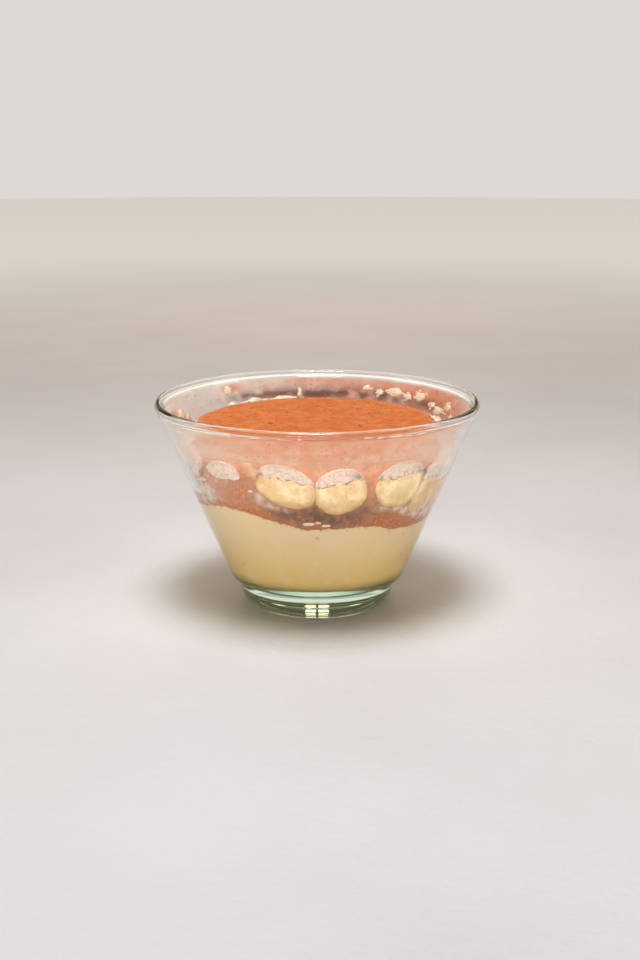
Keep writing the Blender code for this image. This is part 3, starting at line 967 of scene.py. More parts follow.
@dataclass(frozen=True)
class LayerSkin:
    """The closed skin of one layer: its side, row by row, and its two hidden faces."""

    strata: Strata
    press: float
    rows: int

    def side(self, low: np.ndarray, high: np.ndarray) -> tuple[np.ndarray, np.ndarray, np.ndarray]:
        """The side between two heights at each azimuth.

        Args:
            low: height of the lower edge at each azimuth.
            high: height of the upper edge at each azimuth.

        Returns:
            Points of the side, their azimuths and their heights above the foot.
        """
        share = np.linspace(0.0, 1.0, self.rows)[:, None]
        z = low[None, :] + (high - low)[None, :] * share
        azimuth = np.broadcast_to(self.strata.azimuths[None, :], z.shape)
        return on_circle(self.strata.outline(z, azimuth, self.press), azimuth, z), azimuth, z

    def close(self, name: str, side: np.ndarray, masks: dict[Mask, np.ndarray],
              floor_z: float, roof_z: float, shares: Sequence[float] = (0.96, 0.85, 0.5)
              ) -> bpy.types.Object:
        """Add the lower and the upper face to a side and make the piece.

        Args:
            name: the piece's name.
            side: the side's points.
            masks: the side's mask values.
            floor_z: height of the lower face near the axis.
            roof_z: height of the upper face near the axis.
            shares: how far out the inner rings of both faces lie.

        Returns:
            The new object.
        """
        def face(edge: np.ndarray, middle: float, order: Sequence[float]) -> np.ndarray:
            """Rings from an edge towards the middle, or back."""
            rings = edge[None] * np.array(order)[:, None, None]
            blend = np.array(order)[:, None] ** 2
            rings[..., 2] = middle + (edge[None, :, 2] - middle) * blend
            return rings

        under = face(side[0], floor_z, list(reversed(shares)))
        over = face(side[-1], roof_z, list(shares))
        rings = np.concatenate([under, side, over])
        padded = {mask: np.concatenate([np.repeat(v[:1], len(shares), 0), v,
                                        np.repeat(v[-1:], len(shares), 0)])
                  for mask, v in masks.items()}
        return closed_skin(name, rings, padded)


@dataclass(frozen=True)
class BottomCream:
    """The pale cream in the lower half of the bowl, pressed to the glass all round."""

    strata: Strata
    press: float = 0.00020
    rows: int = 46
    hidden: float = 0.0012          # how far it runs up behind the cocoa layer

    def build(self, effects: Effects) -> None:
        """Make the cream, from just inside the glass floor to behind the cocoa layer."""
        bowl = self.strata.bowl
        high = self.strata.cream_edge() + self.hidden
        low = np.full_like(high, bowl.floor_z - self.press)
        skin = LayerSkin(self.strata, self.press, self.rows)
        side, _, z = skin.side(low, high)
        rise = smooth_step(bowl.floor_z, self.strata.cream_level, z)
        piece = skin.close("cream_bottom", side, {Mask.RISE: rise}, float(low[0]),
                           self.strata.cream_level)
        install(piece, CreamFinish().build(effects), Slot.CREAM, ["bottom_cream"])


@dataclass(frozen=True)
class CocoaLayer:
    """The soaked cocoa between the bottom cream and the ladyfingers."""

    strata: Strata
    press: float = 0.00024
    rows: int = 56
    hidden: float = 0.0016          # how far it runs up behind the upper cream
    fray: float = 0.00055           # how ragged its powdery lower edge is
    powder: tuple[Patch, ...] = (
        Patch(-37, 52.2, 7, 2.6, 1.0), Patch(-46, 48.4, 9, 2.8, 0.9), Patch(-33, 46.2, 10, 2.2, 1.0),
        Patch(45, 40.4, 11, 2.6, 1.0), Patch(32, 43.0, 8, 1.8, 0.9), Patch(62, 37.6, 8, 1.8, 0.9),
        Patch(100, 45.0, 14, 3.0, 0.9), Patch(148, 44.0, 16, 3.0, 0.9),
        Patch(-160, 44.0, 14, 2.8, 0.9), Patch(-112, 42.5, 14, 2.6, 0.9), Patch(-80, 45, 9, 2.4, 0.8))
    deep: tuple[Patch, ...] = (
        Patch(0, 44.9, 12, 2.6, 1.0), Patch(12, 43.8, 9, 2.4, 0.9), Patch(-13, 46.6, 8, 2.6, 0.8),
        Patch(-2, 47.5, 4, 2.6, 0.8), Patch(21, 47.0, 5, 2.4, 0.6),
        Patch(122, 48.0, 15, 3.2, 0.9), Patch(176, 47.0, 16, 3.2, 0.9),
        Patch(-128, 47.0, 14, 3.0, 0.8))
    haze: tuple[Patch, ...] = (
        Patch(-64, 48.8, 12, 4.0, 1.3), Patch(-26, 51.4, 5, 2.4, 0.5, -0.25),
        Patch(-18, 48.4, 7, 1.4, 0.45, -0.15), Patch(46, 44.2, 12, 2.2, 1.0, -0.24),
        Patch(30, 47.0, 6, 1.6, 0.4), Patch(62, 43.0, 9, 4.0, 0.9), Patch(76, 42.0, 9, 4.0, 0.9),
        Patch(-78, 50, 6, 3, 0.6),
        Patch(135, 50.5, 9, 2.2, 0.8), Patch(-145, 49.5, 10, 2.4, 0.8), Patch(-100, 48, 8, 2.2, 0.7))

    def masks(self, azimuth: np.ndarray, z: np.ndarray, low: np.ndarray, high: np.ndarray
              ) -> dict[Mask, np.ndarray]:
        """Powder, dark zones, films and the blend into the cream above.

        Args:
            azimuth: azimuth of each point of the side.
            z: height of each point.
            low: the lower edge's height at each azimuth.
            high: the upper edge's height at each azimuth.

        Returns:
            The mask values of the side's points.
        """
        above = (z - low[None, :]) / MM
        rim = np.exp(-(above / 1.25) ** 2)
        calm = np.clip(1.0 - 0.75 * np.exp(-(angle_between(azimuth, 3) / 16.0) ** 2), 0.0, 1.0)
        powder = np.maximum(patch_cover(self.powder, azimuth, z), 0.95 * rim * calm)
        below = (high[None, :] - z) / MM
        return {Mask.POWDER: powder, Mask.DEEP: patch_cover(self.deep, azimuth, z),
                Mask.HAZE: patch_cover(self.haze, azimuth, z),
                Mask.SEAM: 1.0 - smooth_step(0.6, 3.6, below)}

    def build(self, effects: Effects) -> None:
        """Make the layer, with a ragged lower edge on the cream."""
        azimuth = self.strata.azimuths
        edge = self.strata.cream_edge()
        around = on_circle(np.full_like(azimuth, self.strata.swell_reach), azimuth, edge * 0.0)
        ragged = noise_field(around, 0.0032, 3, 4.0) + 0.5 * noise_field(around, 0.0011, 2, 9.0)
        low = edge + self.fray * ragged
        high = self.strata.cocoa_edge() + self.hidden
        skin = LayerSkin(self.strata, self.press, self.rows)
        side, azimuths, z = skin.side(low, high)
        piece = skin.close("cocoa_soaked", side,
                           self.masks(azimuths, z, low, high - self.hidden),
                           self.strata.cream_level - self.hidden, self.strata.cocoa_level)
        install(piece, SoakedFinish().build(effects), Slot.SOAKED, ["cocoa_layer"])


@dataclass(frozen=True)
class TopCream:
    """The upper cream that wraps the ladyfingers, stained by the cocoa around it."""

    strata: Strata
    press: float = 0.00028
    rows: int = 84
    fray: float = 0.00060
    relief: float = 0.00016
    soaked: tuple[Patch, ...] = (
        Patch(22, 55.0, 4.5, 4.5, 1.0), Patch(-25, 56.5, 4, 3.0, 0.8), Patch(-50, 57.0, 8, 2.4, 0.7),
        Patch(60, 56.0, 10, 3.0, 0.6), Patch(130, 57.0, 10, 3.0, 0.8), Patch(-140, 57.0, 12, 3.0, 0.7))
    pale: tuple[Patch, ...] = (
        Patch(-33, 64.6, 3.0, 2.4, 1.0, -0.5), Patch(-29, 61.0, 2.2, 2.2, 0.7, -0.4),
        Patch(-70, 58.5, 3.4, 4.5, 0.9), Patch(-56, 64.0, 5.0, 0.9, 0.5), Patch(-19, 64.9, 8, 0.6, 0.6),
        Patch(-5, 64.0, 4, 0.6, 0.4), Patch(118, 60, 8, 3.0, 0.6), Patch(-150, 61, 9, 2.6, 0.6),
        Patch(162, 64, 7, 1.6, 0.5), Patch(-100, 63, 6, 2.0, 0.6), Patch(80, 63, 6, 3.0, 0.5))

    def build(self, effects: Effects) -> None:
        """Make the upper cream, from the cocoa layer to the flat top."""
        strata = self.strata
        azimuth = strata.azimuths
        edge = strata.cocoa_edge()
        around = on_circle(np.full_like(azimuth, strata.swell_reach), azimuth, edge * 0.0)
        low = edge + self.fray * noise_field(around, 0.0040, 3, 31.0)
        high = np.full_like(low, strata.pile_top)
        skin = LayerSkin(strata, self.press, self.rows)
        side, azimuths, z = skin.side(low, high)
        lumps = noise_field(side, 0.0032, 3, 55.0) + 0.5 * noise_field(side, 0.0012, 2, 71.0)
        push = self.relief * lumps * strata.free_share(z, azimuths)
        side = side + ring_normals(side) * push[..., None]
        above = (z - low[None, :]) / MM
        below = (strata.pile_top - z) / MM
        joined = np.maximum(np.exp(-(above / 3.8) ** 2), patch_cover(self.soaked, azimuths, z))
        masks = {Mask.SEAM: joined,
                 Mask.PALE: patch_cover(self.pale, azimuths, z),
                 Mask.POWDER: 0.10 * np.exp(-(below / 2.0) ** 2)}
        piece = skin.close("cream_upper", side, masks, strata.cocoa_level, strata.pile_top,
                           (0.985, 0.955, 0.9, 0.5))
        install(piece, StainedFinish().build(effects), Slot.STAINED, ["top_cream"])


@dataclass(frozen=True)
class CocoaDusting:
    """The thick dusting of cocoa powder on the top, lumpy and draped over the pile's shoulder."""

    strata: Strata
    low_z: float
    thickness: float
    radius: float = 0.0438
    waves: tuple[tuple[int, float, float], ...] = ((2, 1.0, 0.0005), (5, 0.0, 0.0004))
    segments: int = 480
    rings: int = 110
    lumps: float = 0.00024
    over_cream: float = 0.00014     # how thick the powder lies on the shoulder
    drape: float = 0.0008           # how far it comes down below the pile's top
    bare: tuple[Swell, ...] = (Swell(-146, 15, 1.0), Swell(-118, 8, 0.5), Swell(97, 7, 0.7))
    bare_step: float = 0.0026       # how far the powder draws back where cream shows
    clots: tuple[tuple[float, float, float], ...] = (
        (-74, 0.0180, 0.00100), (180, 0.0260, 0.00090), (74, 0.0425, 0.0013), (-18, 0.0240, 0.0007),
        (28, 0.0330, 0.0005), (-130, 0.0330, 0.0006), (120, 0.0230, 0.0005), (60, 0.0180, 0.0006))

    def outline(self, azimuth: np.ndarray) -> tuple[np.ndarray, np.ndarray, np.ndarray]:
        """Radius of the flat top, and radius and height of the powder's lower edge."""
        angle = np.radians(azimuth)
        around = on_circle(np.full_like(azimuth, self.radius), azimuth, azimuth * 0.0)
        bare = np.clip(sum(item.height(azimuth) for item in self.bare), 0.0, 1.0)
        waves = sum(depth * np.sin(count * angle + phase) for count, phase, depth in self.waves)
        flat = self.radius + waves + 0.0004 * noise_field(around, 0.0035, 3, 12.0)
        flat = flat - self.bare_step * bare
        ragged = 0.0007 * noise_field(around, 0.0022, 3, 27.0)
        edge_z = self.strata.pile_top - (self.drape + ragged) * (1.0 - bare)
        shoulder = self.strata.free_radius(edge_z, azimuth) + self.over_cream
        edge = shoulder + (flat + 0.0003 - shoulder) * bare
        return flat, edge, edge_z

    def build(self, effects: Effects) -> None:
        """Make the powder: a hidden underside, a draped edge and a softly lumpy top."""
        azimuth = np.arange(self.segments) * 360.0 / self.segments
        flat, edge, edge_z = self.outline(azimuth)
        top = self.low_z + self.thickness
        under = [on_circle(flat * share, azimuth, np.full_like(flat, self.low_z))
                 for share in (0.3, 0.8, 0.93)]
        under.append(on_circle(edge - 2.0 * self.over_cream, azimuth, edge_z))
        fall = [on_circle(edge + (flat - edge) * (1.0 - math.cos(turn)), azimuth,
                          edge_z + (top - edge_z) * math.sin(turn))
                for turn in np.linspace(0.0, math.pi / 2, 12)]
        over = [on_circle(flat * share, azimuth, np.full_like(flat, top))
                for share in np.linspace(0.985, 0.01, self.rings)]
        rings = np.stack(under + fall + over)
        lift = smooth_step(0.0, 1.0, (rings[..., 2] - self.low_z) / self.thickness)
        soft = noise_field(rings, 0.0065, 2, 3.0) + 0.55 * noise_field(rings, 0.0018, 3, 8.0)
        dark = np.zeros_like(lift)
        for place, radius, size in self.clots:
            middle = on_circle(radius, place, top)
            away = np.linalg.norm((rings - middle)[..., :2], axis=-1) / size
            dark = np.maximum(dark, np.exp(-away ** 2))
        rings[..., 2] += (self.lumps * soft + 0.0003 * dark) * lift
        reach = np.hypot(rings[..., 0], rings[..., 1]) - flat[None, :]
        fade = smooth_step(-0.0014, 0.0012, reach)
        install(closed_skin("cocoa_top", rings, {Mask.DEEP: dark, Mask.SEAM: fade}),
                PowderFinish().build(effects), Slot.POWDER, ["cocoa_dusting"])


# ---- ladyfingers -----------------------------------------------------------------------------------
@dataclass(frozen=True)
class Stain:
    """A soaked spot on a ladyfinger, in shares of its half width and half height."""

    across: float
    up: float
    wide: float
    tall: float


@dataclass(frozen=True)
class Ladyfinger:
    """One ladyfinger, lying front to back between the layers.

    x and z are the middle of its section, roll turns it about its length (positive lifts the right
    side), and low_x and high_x flatten its flanks. The crust ends at crust_edge of the half height,
    which rises by crust_lean towards the right flank.
    """

    node: str
    x: float
    z: float
    width: float
    height: float
    roll: float
    front: float
    back: float
    low_x: float = -1.0
    high_x: float = 1.0
    beside_wall: bool = False
    crust_edge: float = 0.1
    crust_lean: float = 0.0
    stains: tuple[Stain, ...] = ()
    cover_edge: float = -9.0        # cream covers its ends below this share of the half height
    cover_bend: float = 0.0         # how much the cover's edge rises towards both flanks
    press: float = 0.00046          # how far its ends reach past the inside of the glass
    skin: float = 0.00013           # depth of the relief where they lie on the glass
    proud: float = 0.0012           # how far they stand out of the upper cream
    end_length: float = 0.55        # of the smaller section size
    end_power: float = 2.6
    flank_power: float = 0.88
    dome_power: float = 0.95
    underside_power: float = 0.80
    around: int = 176
    end_rings: int = 42
    body_rings: int = 44

    def stations(self) -> list[tuple[float, float]]:
        """Place along the length and section size of each ring, evenly over both blunt ends."""
        end = min(self.width, self.height) * self.end_length
        sizes = [i / self.end_rings for i in range(1, self.end_rings)] + [0.985, 0.993, 0.998]
        shares = [1.0 - (1.0 - size ** self.end_power) ** (1.0 / self.end_power) for size in sizes]
        front = [(self.front + end * share, size) for share, size in zip(shares, sizes)]
        back = [(self.back - end * share, size) for share, size in zip(shares, sizes)]
        body = np.linspace(self.front + end, self.back - end, self.body_rings)
        return front + [(float(y), 1.0) for y in body] + back[::-1]

    def hold(self, rings: np.ndarray, strata: Strata, sunk: np.ndarray,
             pressed: np.ndarray | None = None) -> tuple[np.ndarray, np.ndarray]:
        """Flatten points against the next ladyfingers, and against the glass or the pile's side.

        Args:
            rings: the points.
            strata: the layers round the ladyfinger.
            sunk: how far each point stays back under cream.
            pressed: which points were flattened before; they stay within a thin skin of the limit.

        Returns:
            The points moved, and which of them lie at the limit.
        """
        held = rings.copy()
        held[..., 0] = np.clip(held[..., 0], self.low_x, self.high_x)
        limit = soft_minimum(strata.bowl.cavity_radius(held[..., 2]) + self.press,
                             strata.pile_radius + self.proud, strata.easing) - sunk
        moved, fixed = (0, 1) if self.beside_wall else (1, 0)
        reach = np.sqrt(np.maximum(limit ** 2 - held[..., fixed] ** 2, 0.0))
        now = np.abs(held[..., moved]) >= reach
        least = np.zeros_like(reach)
        if pressed is not None:
            least = np.where(pressed, reach - self.skin, 0.0)
        size = np.clip(np.abs(held[..., moved]), np.maximum(least, 0.0), reach)
        held[..., moved] = np.copysign(size, held[..., moved])
        return held, now

    def sink(self, up: np.ndarray, across: np.ndarray, rings: np.ndarray) -> np.ndarray:
        """How far each point draws back under cream that has run over the ladyfinger's foot."""
        edge = self.cover_edge + self.cover_bend * across ** 2
        edge = edge + 0.18 * noise_field(rings, 0.0046, 3, 13.0)
        return 0.0028 * (1.0 - smooth_step(-0.06, 0.06, up - edge))

    def crust_line(self, across: np.ndarray, rings: np.ndarray) -> np.ndarray:
        """Where the crust ends, in shares of the half height, crinkled along its run."""
        wobble = 0.16 * noise_field(rings, 0.0042, 2, self.x * 900.0)
        wobble = wobble + 0.08 * noise_field(rings, 0.0013, 2, 5.0)
        return self.crust_edge + self.crust_lean * across + wobble

    def build(self, strata: Strata, material: bpy.types.Material) -> None:
        """Loft the ladyfinger, raise its crust and open its cracks and pores."""
        angle = np.radians(np.arange(self.around) * 360.0 / self.around)
        cosine, sine = np.cos(angle), np.sin(angle)
        dome = np.where(sine > 0, self.dome_power, self.underside_power)
        y, size = np.array(self.stations()).T
        across = size[:, None] * (np.sign(cosine) * np.abs(cosine) ** self.flank_power)[None, :]
        up = size[:, None] * (np.sign(sine) * np.abs(sine) ** dome)[None, :]
        turn = math.radians(self.roll)
        dx, dz = across * self.width / 2, up * self.height / 2
        x = self.x + dx * math.cos(turn) - dz * math.sin(turn)
        z = self.z + dx * math.sin(turn) + dz * math.cos(turn)
        loose = np.stack([x, np.broadcast_to(y[:, None], x.shape), z], axis=-1)
        sunk = self.sink(up, across, loose)
        base, pressed = self.hold(loose, strata, sunk)

        past = up - self.crust_line(across, base)
        crust = smooth_step(-0.012, 0.025, past)
        broken = crackle_field(base, 0.0016, 17.0)
        scraps = smooth_step(0.26, 0.34, broken) * smooth_step(-0.26, -0.20, past)
        scraps = scraps * (1.0 - crust) * smooth_step(-0.2, 0.25, noise_field(base, 0.003, 2, 40.0))
        # the crinkle under the crust's edge and the cracks are sunk into the relief, and also darkened
        # with painted shade through their mask
        groove = np.exp(-((past + 0.045) / 0.04) ** 2)
        groove = groove * smooth_step(-0.35, 0.10, noise_field(base, 0.0022, 2, 23.0))
        plates = crackle_field(base, 0.0024, 29.0)
        cracks = crust * (1.0 - smooth_step(0.02, 0.09, plates))
        cracks = cracks * (0.40 + 0.60 * np.exp(-(past / 0.38) ** 2))
        cracks = cracks * smooth_step(-0.1, 0.25, noise_field(base, 0.005, 2, 61.0))
        wrinkles = noise_field(base, 0.0012, 3, 77.0)
        pores = smooth_step(0.18, 0.5, noise_field(base, 0.0011, 2, 91.0)) * (1.0 - crust)
        relief = (0.00030 * crust + 0.00022 * scraps + 0.00010 * wrinkles * crust
                  - 0.00040 * groove - 0.00026 * cracks - 0.00016 * pores - 0.00012)
        squeezed = (loose[..., 0] <= self.low_x) | (loose[..., 0] >= self.high_x)
        relief = np.where(squeezed, 0.0, relief)
        rings, _ = self.hold(base + ring_normals(base) * relief[..., None], strata, sunk, pressed)

        outer = np.broadcast_to(size[:, None], up.shape) + 0.10 * noise_field(base, 0.003, 2, 50.0)
        toast = (0.25 if self.beside_wall else 0.85) * smooth_step(0.70, 1.02, outer)
        # painted shade: a dark rim round the edge of each end, where it meets the cream; the spots added
        # below are soaked stains
        stain_and_edge_shade = 0.75 * smooth_step(0.955, 1.0, outer) * (1.0 - 0.9 * crust)
        stain_and_edge_shade = stain_and_edge_shade * (0.0 if self.beside_wall else 1.0)
        for spot in self.stains:
            away = ((across - spot.across) / spot.wide) ** 2 + ((up - spot.up) / spot.tall) ** 2
            stain_and_edge_shade = np.maximum(stain_and_edge_shade, np.exp(-away))
        masks = {Mask.CRUST: np.maximum(crust, scraps), Mask.TOAST: toast, Mask.STAIN_AND_EDGE_SHADE: stain_and_edge_shade,
                 Mask.CRACK_SHADE: np.maximum(groove * (1.0 - 0.8 * scraps), 0.8 * cracks)}
        install(closed_skin(self.node.replace("ladyfinger", "sponge"), rings, masks), material,
                Slot.SPONGE, [self.node])


@dataclass(frozen=True)
class LadyfingerRow:
    """The six ladyfingers, side by side."""

    strata: Strata
    seam_x: float = -0.0004         # where the two middle ones press on each other
    half_gap: float = 0.00002

    def fingers(self) -> tuple[Ladyfinger, ...]:
        """Each ladyfinger with its place, turn and crust."""
        return (
            Ladyfinger("ladyfinger_far_left", -0.0447, 0.0570, 0.0100, 0.0140, -6, -0.0250, 0.0220,
                       high_x=-0.0396, beside_wall=True, crust_edge=-0.2, crust_lean=0.2,
                       cover_edge=-0.45, proud=0.0020),
            Ladyfinger("ladyfinger_left", -0.0324, 0.0558, 0.0130, 0.0132, -6, -0.0440, 0.0400,
                       low_x=-0.0394, crust_edge=-0.30, cover_edge=0.02, cover_bend=0.42),
            Ladyfinger("ladyfinger_mid_left", -0.0103, 0.0562, 0.0214, 0.0142, -22, -0.0520, 0.0505,
                       high_x=self.seam_x - self.half_gap, crust_edge=0.38, crust_lean=0.25,
                       stains=(Stain(-0.98, -0.1, 0.07, 0.25),)),
            Ladyfinger("ladyfinger_mid_right", 0.0077, 0.0545, 0.0186, 0.0166, 19, -0.0520, 0.0508,
                       low_x=self.seam_x + self.half_gap, crust_edge=0.41, crust_lean=-0.16,
                       underside_power=0.98, stains=(Stain(0.80, 0.40, 0.20, 0.20),)),
            Ladyfinger("ladyfinger_right", 0.0286, 0.0548, 0.0190, 0.0158, 19, -0.0480, 0.0420,
                       high_x=0.0378, crust_edge=0.50, crust_lean=-0.32,
                       stains=(Stain(0.90, 0.30, 0.16, 0.26), Stain(-0.97, -0.2, 0.08, 0.3))),
            Ladyfinger("ladyfinger_far_right", 0.0418, 0.0508, 0.0118, 0.0166, 4, -0.0320, 0.0200,
                       low_x=0.0379, beside_wall=True, crust_edge=0.60, crust_lean=0.0,
                       cover_edge=-0.85, proud=0.0022),
        )

    def build(self, effects: Effects) -> None:
        """Make all six from one sponge finish."""
        material = SpongeFinish().build(effects)
        for finger in self.fingers():
            finger.build(self.strata, material)


# ---- small loose things ----------------------------------------------------------------------------
def lump_points(subdivisions: int) -> tuple[np.ndarray, list[tuple[int, ...]]]:
    """Points and faces of a round lump of radius 1."""
    bm = bmesh.new()
    bmesh.ops.create_icosphere(bm, subdivisions=subdivisions, radius=1.0)
    points = np.array([v.co for v in bm.verts])
    faces = [tuple(v.index for v in f.verts) for f in bm.faces]
    bm.free()
    return points, faces


def strew(name: str, centres: np.ndarray, sizes: np.ndarray, turns: np.ndarray,
          subdivisions: int = 1, lumpiness: float = 0.25) -> bpy.types.Object:
    """Join many small lumps into one piece.

    Args:
        name: the piece's name.
        centres: where the lumps lie, shaped (count, 3).
        sizes: half extents of each lump in its own frame, shaped (count, 3).
        turns: rotation of each lump, shaped (count, 3, 3), its columns the lump's own axes.
        subdivisions: how finely each lump is divided.
        lumpiness: how uneven each lump is, as a share of its size.

    Returns:
        The new object.
    """
    unit, faces = lump_points(subdivisions)
    points, joined = [], []
    for i, (centre, size, turn) in enumerate(zip(centres, sizes, turns)):
        bumps = noise_field(unit, 0.9, 2, i * 7.31)[:, None]
        local = unit * (1.0 + lumpiness * bumps) * size
        points.append(local @ turn.T + centre)
        joined += [tuple(index + i * len(unit) for index in item) for item in faces]
    return make_object(name, np.concatenate(points), joined, {})


def standing_turns(azimuth: np.ndarray, lean: float) -> np.ndarray:
    """Frames on a wall: first axis along it to the right, second up it, third out of it.

    Args:
        azimuth: place of each frame, in degrees.
        lean: angle by which the wall flares from upright, in radians.

    Returns:
        The frames, shaped (count, 3, 3), with the axes as columns.
    """
    angle = np.radians(azimuth)
    zero = np.zeros_like(angle)
    along = np.stack([np.cos(angle), np.sin(angle), zero], -1)
    outward = np.stack([np.sin(angle), -np.cos(angle), zero], -1)
    upward = np.stack([zero, zero, zero + 1.0], -1)
    up = math.cos(lean) * upward + math.sin(lean) * outward
    out = math.cos(lean) * outward - math.sin(lean) * upward
    return np.stack([along, up, out], axis=-1)


@dataclass(frozen=True)
class Bead:
    """A bead or smear of cream on the glass: azimuth in degrees, the rest in millimetres."""

    azimuth: float
    z: float
    wide: float
    tall: float
    thick: float = 0.5


@dataclass(frozen=True)
class CreamTraces:
    """Cream that isn't in a layer: a lip round the dusting, beads on the glass and small flecks."""

    strata: Strata
    lip_z: float
    lip_start: float = -170.0
    lip_end: float = -128.0
    crumbs_per_bead: int = 8
    beads: tuple[Bead, ...] = (
        Bead(117, 66.8, 2.8, 1.9, 0.7), Bead(111, 69.2, 2.2, 1.8, 0.6), Bead(131, 70.6, 2.8, 1.7, 0.5),
        Bead(145, 70.8, 3.4, 1.5, 0.5), Bead(138, 69.8, 1.8, 1.2, 0.4), Bead(105, 66.8, 1.4, 1.0, 0.5),
        Bead(123, 68.6, 1.6, 1.2, 0.4), Bead(152, 69.8, 1.7, 1.0, 0.4), Bead(-172.5, 68.8, 0.65, 2.4, 0.5),
        Bead(-104, 68.0, 2.0, 1.8, 0.5), Bead(-97, 66.0, 1.6, 1.6, 0.5), Bead(-110, 66.2, 1.4, 1.3, 0.5),
        Bead(-139, 71.8, 1.6, 1.3, 0.35), Bead(158, 71.5, 1.5, 0.9, 0.3), Bead(-70, 63.0, 1.5, 4.4, 0.6),
        Bead(-74, 57.5, 1.6, 2.8, 0.5), Bead(76, 62.0, 1.4, 3.2, 0.5))
    blobs: tuple[Bead, ...] = (
        Bead(97, 67.4, 2.6, 2.0, 1.5), Bead(91, 67.0, 1.3, 1.1, 0.8), Bead(106, 67.2, 1.5, 1.3, 0.9),
        Bead(-84, 67.4, 1.3, 1.0, 0.6), Bead(-93, 67.4, 1.8, 1.1, 0.7), Bead(-104, 67.3, 1.4, 1.1, 0.7))
    flecks: tuple[Bead, ...] = (
        Bead(-3.6, 42.2, 2.1, 0.75, 0.3), Bead(0.6, 42.8, 1.1, 0.5, 0.3), Bead(4.0, 41.6, 1.5, 0.6, 0.3),
        Bead(-28, 54.0, 0.9, 0.5, 0.3), Bead(92, 46.0, 1.8, 0.8, 0.3), Bead(171, 43.5, 1.6, 0.7, 0.3))

    def beads_on_glass(self) -> bpy.types.Object:
        """The beads and smears on the inside of the wall, above the contents."""
        rng = np.random.default_rng(SEED + 3)
        rows = []
        for bead in self.beads:
            rows.append((bead.azimuth, bead.z, bead.wide, bead.tall, bead.thick))
            for _ in range(self.crumbs_per_bead):
                turn, away = rng.uniform(0.0, 2.0 * math.pi), rng.uniform(0.55, 1.35)
                share = rng.uniform(0.18, 0.50)
                rows.append((bead.azimuth + bead.wide * away * math.cos(turn),
                             bead.z + bead.tall * away * math.sin(turn),
                             bead.wide * share, bead.tall * share, bead.thick * (0.4 + share / 2)))
        azimuth, height, *extents = np.array(rows).T
        z, sizes = height * MM, np.stack(extents, axis=-1) * MM
        centres = on_circle(self.strata.bowl.wall_radius(z) - 0.35 * sizes[:, 2], azimuth, z)
        lean = math.atan(self.strata.bowl.wall_slope)
        return strew("cream_beads", centres, sizes, standing_turns(azimuth, lean), 3, 0.34)

    def blobs_on_edge(self) -> bpy.types.Object:
        """Blobs of cream on the shoulder of the pile."""
        azimuth = np.array([blob.azimuth for blob in self.blobs], float)
        sizes = np.array([(b.wide, b.tall, b.thick) for b in self.blobs]) * MM
        z = np.array([blob.z for blob in self.blobs]) * MM
        centres = on_circle(np.full_like(z, self.strata.pile_radius - 0.0006), azimuth, z)
        return strew("cream_blobs", centres, sizes, standing_turns(azimuth, -0.7), 4, 0.5)

    def flecks_in_cocoa(self) -> bpy.types.Object:
        """White flecks pressed to the glass at the cocoa's lower edge."""
        azimuth = np.array([fleck.azimuth for fleck in self.flecks], float)
        z = np.array([fleck.z for fleck in self.flecks]) * MM
        sizes = np.array([(f.wide, f.tall, f.thick) for f in self.flecks]) * MM
        depth = sizes[:, 2] - 0.00045
        centres = on_circle(self.strata.bowl.cavity_radius(z) - depth, azimuth, z)
        lean = math.atan(self.strata.bowl.wall_slope)
        return strew("cream_flecks", centres, sizes, standing_turns(azimuth, lean), 4, 0.3)

    def lip(self) -> bpy.types.Object:
        """The uneven lip of plain cream at the back left, where the dusting is thin."""
        azimuth = np.linspace(self.lip_start, self.lip_end, 120)
        share = np.linspace(-1.0, 1.0, 120)
        centre = on_circle(np.full(120, self.strata.pile_radius - 0.0011), azimuth,
                           np.full(120, self.lip_z))
        swell = 0.62 + 0.90 * noise_field(centre, 0.0052, 2, 18.0)
        size = 0.00190 * np.clip(swell, 0.16, 1.3) * np.sqrt(np.maximum(1.0 - share ** 4, 0.0004))
        turn = np.radians(np.arange(28) * 360.0 / 28)
        out = on_circle(np.ones(120), azimuth, np.zeros(120))
        ring = centre[:, None] + out[:, None] * (1.25 * size[:, None] * np.cos(turn))[..., None]
        ring[..., 2] += size[:, None] * np.sin(turn)
        ring += 0.00022 * noise_field(ring, 0.0016, 2, 6.0)[..., None] * ring_normals(ring)
        return closed_skin("cream_lip", ring)

    def build(self, effects: Effects) -> None:
        """Make the four pieces from one finish."""
        material = SmearFinish().build(effects)
        for piece in (self.beads_on_glass(), self.blobs_on_edge(), self.flecks_in_cocoa(),
                      self.lip()):
            install(piece, material, Slot.CREAM)


